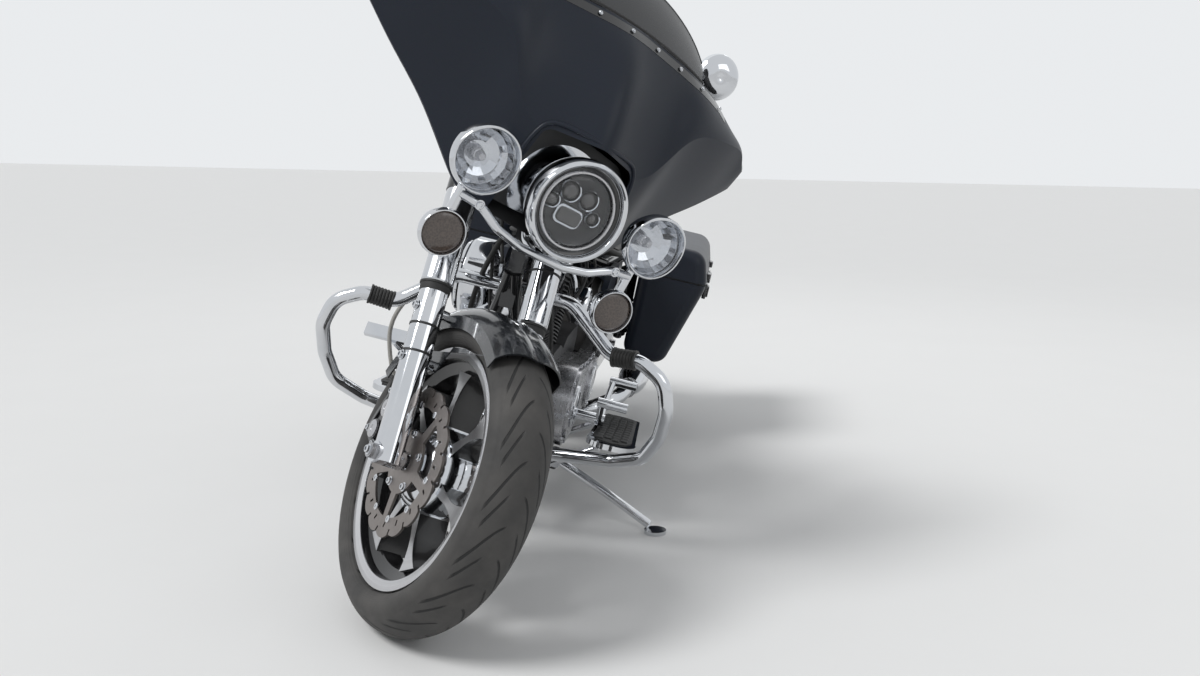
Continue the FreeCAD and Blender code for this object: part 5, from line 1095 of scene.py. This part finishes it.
# exhaust: a heat shield on the front pipe, clamps, bands and the rolled muffler mouths with their cores
exhaust = {
    "shield": [(0.352, -0.168, 0.436), (0.348, -0.176, 0.386), (0.322, -0.19, 0.29), (0.296, -0.197, 0.226),
               (0.2, -0.2, 0.206), (0.04, -0.2, 0.192), (-0.18, -0.2, 0.194)],
    "clamp": [(27.8, -6), (30.5, -6), (30.5, 6), (27.8, 6)],
    "clampSpots": [((0.345, -0.178, 0.375), (-0.25, -0.14, -1)), ((0.14, -0.2, 0.199), (1, 0, 0.05)),
                   ((-0.08, -0.2, 0.192), (1, 0, 0)), ((-0.54, 0.2555, 0.2495), (1, -0.2, -0.13)),
                   ((-0.54, -0.2555, 0.2495), (1, 0.2, -0.13))],
    "muffler": (-0.56, 0.262, 0.252), "tilt": 1.2, "end": -0.69,
    "mouth": [(36.4, -16), (36.2, -1), (38, 0.02), (41.2, 0.02), (42.5, -1.2), (40, -16)],
    "core": [(21, -86), (21, -30), (22.5, -28), (24, -30), (24, -86)],
    "band": [(47.8, -7), (49.2, -6), (49.2, 6), (47.8, 7)], "bandSpots": (-0.16, -0.43),
}


def buildExhaust(e):
    give(rodPiece("heatShield", pointsIn(bike, e["shield"]), 0.028, 6), angle=60)
    clamps = [aimed(bike, point, way) for point, way in e["clampSpots"]]
    give(scatter("pipeClamps", hoopPiece("clamp", e["clamp"], 40), clamps), "polishedAlloy")
    mouths, cores = [], []
    x, y, z = e["muffler"]
    for side in (1, -1):
        here = placeAt(bike, (x, side * y, z), (e["tilt"], "Y"))
        end = aimed(here, (e["end"], 0, 0), (-1, 0, 0))
        mouths.append(hoopPiece("mouth", e["mouth"], 52, end))
        cores.append(hoopPiece("core", e["core"], 32, end))
        for back in e["bandSpots"]:
            mouths.append(hoopPiece("band", e["band"], 48, aimed(here, (back, 0, 0), (-1, 0, 0))))
    give(joined("mufflerMouths", mouths))
    give(joined("mufflerCores", cores), "castAlloy")


buildExhaust(exhaust)

# tank: knurled filler cap, ignition knob, console screws and the seam along each side
tank = {
    "cap": [(37, -18), (38, -16), (38, -4), (36, 0.5), (29, 2.2), (27, 1.2), (8, 3), (3, 3.2)],
    "capPlace": (0.0965, 0, 1.01), "teeth": 28,
    "knob": [(26, -4), (26, 3), (23.5, 5), (21, 3.5), (19, 2), (3, 2)], "knobPlace": (0.205, 0, 0.9965),
    "screws": ((0.272, 0.022), (0.02, 0.036), (-0.07, 0.03)),
    "half": [(-0.14, 0.096), (-0.05, 0.138), (0.07, 0.16), (0.21, 0.152), (0.32, 0.102), (0.372, 0.054)],
    "low": [(-0.14, 0.74), (-0.05, 0.742), (0.07, 0.744), (0.21, 0.752), (0.32, 0.782), (0.372, 0.818)],
    "seamStart": 0.355, "seamStep": 0.026, "seamShare": 0.975, "seamLift": 0.0125,
}


def buildTank(t):
    teeth = [blockPiece("tooth", (0.0376, -0.0011, -0.0155), (0.0391, 0.0011, -0.0045), 0.0004, 1,
                        Matrix.Rotation(math.tau * n / t["teeth"], 4, "Z")) for n in range(t["teeth"])]
    cap = joined("fillerCap", [turnPiece("fillerCap", t["cap"], 56), *teeth])
    give(placed(cap, placeAt(bike, t["capPlace"])))
    knob = joined("ignitionKnob", [turnPiece("knobRing", t["knob"], 40), blockPiece(
        "knobGrip", (-0.0165, -0.005, 0.001), (0.0165, 0.005, 0.0165), 0.0022)])
    give(placed(knob, placeAt(bike, t["knobPlace"], (8, "Y"))), "glossBlack")
    giveBolts("consoleScrews", 3.4, 3.0, [
        aimed(Matrix(), *castOn("tank_console", bike, (x, side * y, 1.2), (0, 0, -1)))
        for x, y in t["screws"] for side in (1, -1)])
    seams = []
    for side in (1, -1):
        line = [(x, side * t["seamShare"] * along(t["half"], x), along(t["low"], x) + t["seamLift"])
                for x in [t["seamStart"] - t["seamStep"] * n for n in range(19)]]
        seams.append(rodPiece("tankSeam", pointsIn(bike, line), 0.0026))
    give(joined("tankSeams", seams), "satinPaint", slot="body_paint", angle=60)


buildTank(tank)
print("exhaust and tank parts built")

# seat: a padded saddle with a raised back, sewn channels across it and welts along its edges
# each row has its place along the bike, its half width, and its base, shoulder and top heights
seat = {"rows": [(-0.114, 0.058, 0.717, 0.74, 0.755), (-0.19, 0.116, 0.692, 0.715, 0.731),
                 (-0.3, 0.164, 0.67, 0.693, 0.706), (-0.42, 0.179, 0.666, 0.705, 0.721),
                 (-0.48, 0.17, 0.673, 0.742, 0.77), (-0.62, 0.15, 0.685, 0.749, 0.778),
                 (-0.757, 0.11, 0.701, 0.737, 0.757)],
        "channels": [-0.215, -0.26, -0.305, -0.35, -0.395, -0.525, -0.57, -0.615, -0.66],
        "channelDepth": 0.006, "channelWidth": 0.0042, "weltAt": 0.8, "weltDepth": 0.0045,
        "weltWidth": 0.03, "stitchAt": 0.845, "endRound": 0.02, "along": 132, "across": 72}


def seatRow(x):
    rows = seat["rows"]
    for a, b in zip(rows, rows[1:]):
        if x >= b[0]:
            t = min(1.0, max(0.0, (a[0] - x) / (a[0] - b[0])))
            t = t * t * (3 - 2 * t)
            return [a[n] + (b[n] - a[n]) * t for n in range(1, 5)]
    return rows[-1][1:]


# v runs across from -1 to 1, w from the base to the top
def seatPoint(x, v, w, s=seat):
    half, low, shoulder, top = seatRow(x)
    side = abs(v)
    height = shoulder + (top - shoulder) * (1 - side ** 2.6)
    height -= s["weltDepth"] * math.exp(-((side - s["weltAt"]) / s["weltWidth"]) ** 2)
    if side < s["weltAt"]:
        dips = sum(math.exp(-((x - c) / s["channelWidth"]) ** 2) for c in s["channels"])
        height -= s["channelDepth"] * dips * (1 - (side / s["weltAt"]) ** 6)
    ends = min(x - s["rows"][-1][0], s["rows"][0][0] - x)
    height -= s["endRound"] * max(0.0, 1 - ends / s["endRound"]) ** 2
    bulge = 1 + 0.03 * math.sin(math.pi * w) if side > 0.99 else 1
    narrow = 1 - 0.1 * max(0.0, w - 0.75) / 0.25 * (side > 0.97)
    return Vector((x, half * v * bulge * narrow, low + (height - low) * w))


def buildSeat(s):
    front, back = s["rows"][0][0], s["rows"][-1][0]
    xs = [front + (back - front) * n / s["along"] for n in range(s["along"] + 1)]
    ws = [0.0, 0.2, 0.4, 0.6, 0.8]
    loop = [(2 * n / s["across"] - 1, 1.0) for n in range(s["across"] + 1)]
    loop += [(1.0, w) for w in reversed(ws)] + [(-1.0, w) for w in ws]
    rows = [pointsIn(bike, [seatPoint(x, v, w) for v, w in loop + loop[:1]]) for x in xs]
    piece = gridPiece("ridersSeat", rows)
    shapeInEdit(piece)
    bpy.ops.mesh.remove_doubles(threshold=0.00001)
    bpy.ops.mesh.select_all(action="DESELECT")
    bpy.ops.mesh.select_non_manifold()
    bpy.ops.mesh.edge_face_add()
    faceOut()
    bpy.ops.object.mode_set(mode="OBJECT")
    smooth = piece.modifiers.new("soften", "SMOOTH")
    smooth.factor, smooth.iterations = 0.5, 3
    bpy.ops.object.modifier_apply(modifier="soften")
    give(piece, "grainLeather", angle=60)
    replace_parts(piece, "seat")
    welts, stitches = [], []
    for side in (1, -1):
        line = [seatPoint(x, side * s["weltAt"], 1.0) + Vector((0, 0, 0.0026)) for x in xs[4:-3:4]]
        welts.append(rodPiece("welt", pointsIn(bike, line), 0.0022))
        stitches += [placeAt(bike, seatPoint(x, side * s["stitchAt"], 1.0) + Vector((0, 0, 0.0008)))
                     for x in xs[8:s["along"] - 6:2]]
    give(joined("seatWelts", welts), "stitchThread", angle=60)
    one = blockPiece("stitch", (-0.0022, -0.0005, 0.0), (0.0022, 0.0005, 0.001), 0.0003, 1)
    give(scatter("seatStitches", one, stitches), "stitchThread")


buildSeat(seat)
print("seat built")

# saddlebags: a seal along each lid, latches on the outer side, rear reflectors and rails below
# each block has its half length, its two distances aside, its two heights and its rounding
bags = {"front": -0.56, "back": -1.18, "inner": 0.212, "outer": 0.4185, "split": 0.6145, "round": 0.034,
        "gap": 0.007, "latches": (-0.7, -1.04), "latchBase": (0.03, 0.412, 0.4245, 0.56, 0.606, 0.003),
        "latchLever": (0.022, 0.4235, 0.43, 0.566, 0.6, 0.0026),
        "latchHook": (0.024, 0.412, 0.425, 0.6205, 0.64, 0.0026),
        "rail": (0.225, 0.24, 0.252, 0.33, 0.342, 0.003), "railMiddle": -0.865,
        "reflector": [(21, -4), (21, 1), (19, 2.4), (3, 3)], "reflectorPlace": (-1.1797, 0.3, 0.5)}


def bagBlock(name, x, side, facts):
    half, near, far, low, high, round = facts
    return blockPiece(name, (x - half, side * near, low), (x + half, side * far, high), round, place=bike)


def buildBags(b):
    seals, latches, reflectors, rails = [], [], [], []
    x0, y0 = (b["front"] + b["back"]) / 2, (b["inner"] + b["outer"]) / 2
    length, width = b["front"] - b["back"], b["outer"] - b["inner"]
    shape = roundedRectangle(length - b["gap"], width - b["gap"], b["round"])
    for word, side in (("left", 1), ("right", -1)):
        line = []
        for start, end in zip(shape, shape[1:] + shape[:1]):
            count = max(1, int(math.dist(start, end) / 0.03))
            for x, y in [Vector(start).lerp(Vector(end), k / count) for k in range(count)]:
                line.append((x0 + x, side * (y0 + y), b["split"]))
        seals.append(rodPiece("seal", pointsIn(bike, line), 0.0021, 2, closed=True))
        for name in ("latchBase", "latchLever"):
            latches += [bagBlock(name, x, side, b[name]) for x in b["latches"]]
        hooks = [bagBlock("latchHook", x, side, b["latchHook"]) for x in b["latches"]]
        give(joined(word + "LatchHooks", hooks), "glossBlack", word + "_lid")
        x, y, z = b["reflectorPlace"]
        here = aimed(bike, (x, side * y, z), (-1, 0, 0))
        reflectors.append(turnPiece("reflector", b["reflector"], 36, here))
        rails.append(bagBlock("bagRail", b["railMiddle"], side, b["rail"]))
    give(joined("lidSeals", seals), "softRubber", angle=60)
    give(joined("bagLatches", latches), "glossBlack")
    give(joined("bagReflectors", reflectors), "redLens")
    give(joined("bagRails", rails), "mouldedBlack")


buildBags(bags)

# rear end: lamp rings and a frame round the blank plate, with its screws
rear = {"lamps": (-0.16, 0.0, 0.16), "lampFront": -1.195, "height": 0.562,
        "ring": [(34.5, -8), (34.5, 2), (36, 3.2), (38.8, 1), (39.2, -8)], "plate": (-1.17, 0, 0.42),
        "bars": [(-0.0945, 0.0585, 0.0945, 0.0645), (-0.0945, -0.0645, 0.0945, -0.0585),
                 (0.0885, -0.06, 0.0945, 0.06), (-0.0945, -0.06, -0.0885, 0.06)]}


def buildRear(r):
    rings = [hoopPiece("lampRing", r["ring"], 40, aimed(bike, (r["lampFront"], y, r["height"]), (-1, 0, 0)))
             for y in r["lamps"]]
    give(joined("tailRings", rings))
    here = placeAt(bike, r["plate"], (8, "Y"))
    edges = [blockPiece("plateBar", (-0.01, y0, z0), (-0.002, y1, z1), 0.0015)
             for y0, z0, y1, z1 in r["bars"]]
    give(placed(joined("plateFrame", edges), here))
    screws = [aimed(here, (-0.0082, y, z), (-1, 0, 0)) for y in (-0.07, 0.07) for z in (-0.045, 0.045)]
    giveBolts("plateScrews", 4.0, 3.0, screws)


buildRear(rear)
print("bags and rear built")

# lines drawn through given points between two ends: the clutch cable at the engine and a brake line up each
# leg
lines = {
    "clutch": [(0.33, -0.15, 0.33), (0.392, -0.236, 0.352), (0.394, -0.262, 0.424), (0.398, -0.272, 0.486),
               (0.406, -0.248, 0.552), (0.42, -0.196, 0.606), (0.44, -0.12, 0.66)],
    "clutchRadius": 0.005, "clutchLength": 0.487,
    "brake": [(-0.128, -0.02, 0.128), (-0.092, -0.012, 0.196), (-0.046, -0.004, 0.214),
              (-0.0345, 0.0, 0.262), (-0.036, 0.0, 0.34), (-0.0395, 0.0, 0.43), (-0.04, -0.004, 0.51),
              (-0.045, -0.02, 0.556)],
    "brakeRadius": 0.0032, "brakeLength": 0.501,
}


def hangLine(name, points, radius, length, body, look="softRubber"):
    data = bpy.data.curves.new(name, "CURVE")
    data.dimensions = "3D"
    spline = data.splines.new("NURBS")
    spline.points.add(len(points) - 1)
    for point, place in zip(spline.points, points):
        point.co = (*place, 1)
    spline.order_u = 3
    spline.use_endpoint_u = True
    data.resolution_u = spline.resolution_u = 8
    data.bevel_depth = radius
    data.bevel_resolution = 4
    data.use_fill_caps = True
    piece = bpy.data.objects.new(name, data)
    bpy.context.scene.collection.objects.link(piece)
    data.materials.append(finish[look])
    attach(piece, body)
    tuple(points[0])
    return piece


clutch = hangLine("clutchLine", pointsIn(bike, lines["clutch"]), lines["clutchRadius"],
                  lines["clutchLength"], "frame", "paleSheath")
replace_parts(clutch, "clutch_cable")
for word, side in (("left", 1), ("right", -1)):
    route = [(x, side * y, z) for x, y, z in lines["brake"]]
    hangLine(word + "BrakeLine", pointsIn(legs[side], route), lines["brakeRadius"], lines["brakeLength"],
             "front_end")

# floor, backdrop and lights, each light with its place, aim, size and power
studio = {
    "floorColours": ((0.78, 0.78, 0.775), (0.76, 0.76, 0.755)), "worldColour": (0.93, 0.95, 0.97),
    "worldStrength": 0.5, "seenStrength": 0.88, "sun": 1.75, "sunWidth": 22, "sunFrom": (2.2, -3.0, 4.6),
    "keyLight": ((2.2, -3.0, 4.2), (0, 0, 0.5), (2.6, 1.8), 16),
    "fillLight": ((2.6, 3.4, 2.6), (0, 0, 0.6), (2.4, 2.0), 14),
    "rimLight": ((-3.4, 0.8, 3.6), (0, 0, 0.6), (2.6, 1.6), 16),
}


def addFloor(s):
    startFresh()
    bpy.ops.mesh.primitive_plane_add(size=60, location=(0, 0, 0))
    floor = named("studioFloor")
    look = Shader("studioFloor", Roughness=0.75)
    floor.data.materials.append(look.done(look.blend(look.noise(3, 4), *s["floorColours"])))


# a light of the kind that shines from a place towards an aim
def addLamp(name, kind, place, aim, power):
    data = bpy.data.lights.new(name, kind)
    data.energy = power
    lamp = bpy.data.objects.new(name, data)
    lamp.location = place
    lamp.rotation_euler = (Vector(aim) - Vector(place)).to_track_quat("-Z", "Y").to_euler()
    bpy.context.scene.collection.objects.link(lamp)
    return data


def addLights(s):
    world = bpy.data.worlds.new("studioWorld")
    bpy.context.scene.world = world
    world.use_nodes = True
    tree = world.node_tree
    back = tree.nodes["Background"]
    back.inputs["Color"].default_value = (*s["worldColour"], 1)
    path = tree.nodes.new("ShaderNodeLightPath")
    pick = tree.nodes.new("ShaderNodeMapRange")
    pick.inputs["To Min"].default_value = s["worldStrength"]
    pick.inputs["To Max"].default_value = s["seenStrength"]
    seen = path.outputs["Is Camera Ray"]
    for kind in ("Is Glossy Ray", "Is Transmission Ray"):  # metal and glass show the same background
        either = tree.nodes.new("ShaderNodeMath")
        either.operation = "MAXIMUM"
        tree.links.new(seen, either.inputs[0])
        tree.links.new(path.outputs[kind], either.inputs[1])
        seen = either.outputs[0]
    tree.links.new(seen, pick.inputs["Value"])
    tree.links.new(pick.outputs["Result"], back.inputs["Strength"])
    addLamp("softSun", "SUN", s["sunFrom"], (0, 0, 0), s["sun"]).angle = math.radians(s["sunWidth"])
    for name in ("keyLight", "fillLight", "rimLight"):
        place, aim, width, power = s[name]
        data = addLamp(name, "AREA", place, aim, power)
        data.shape = "RECTANGLE"
        data.size, data.size_y = width


addFloor(studio)
addLights(studio)
print("studio set")
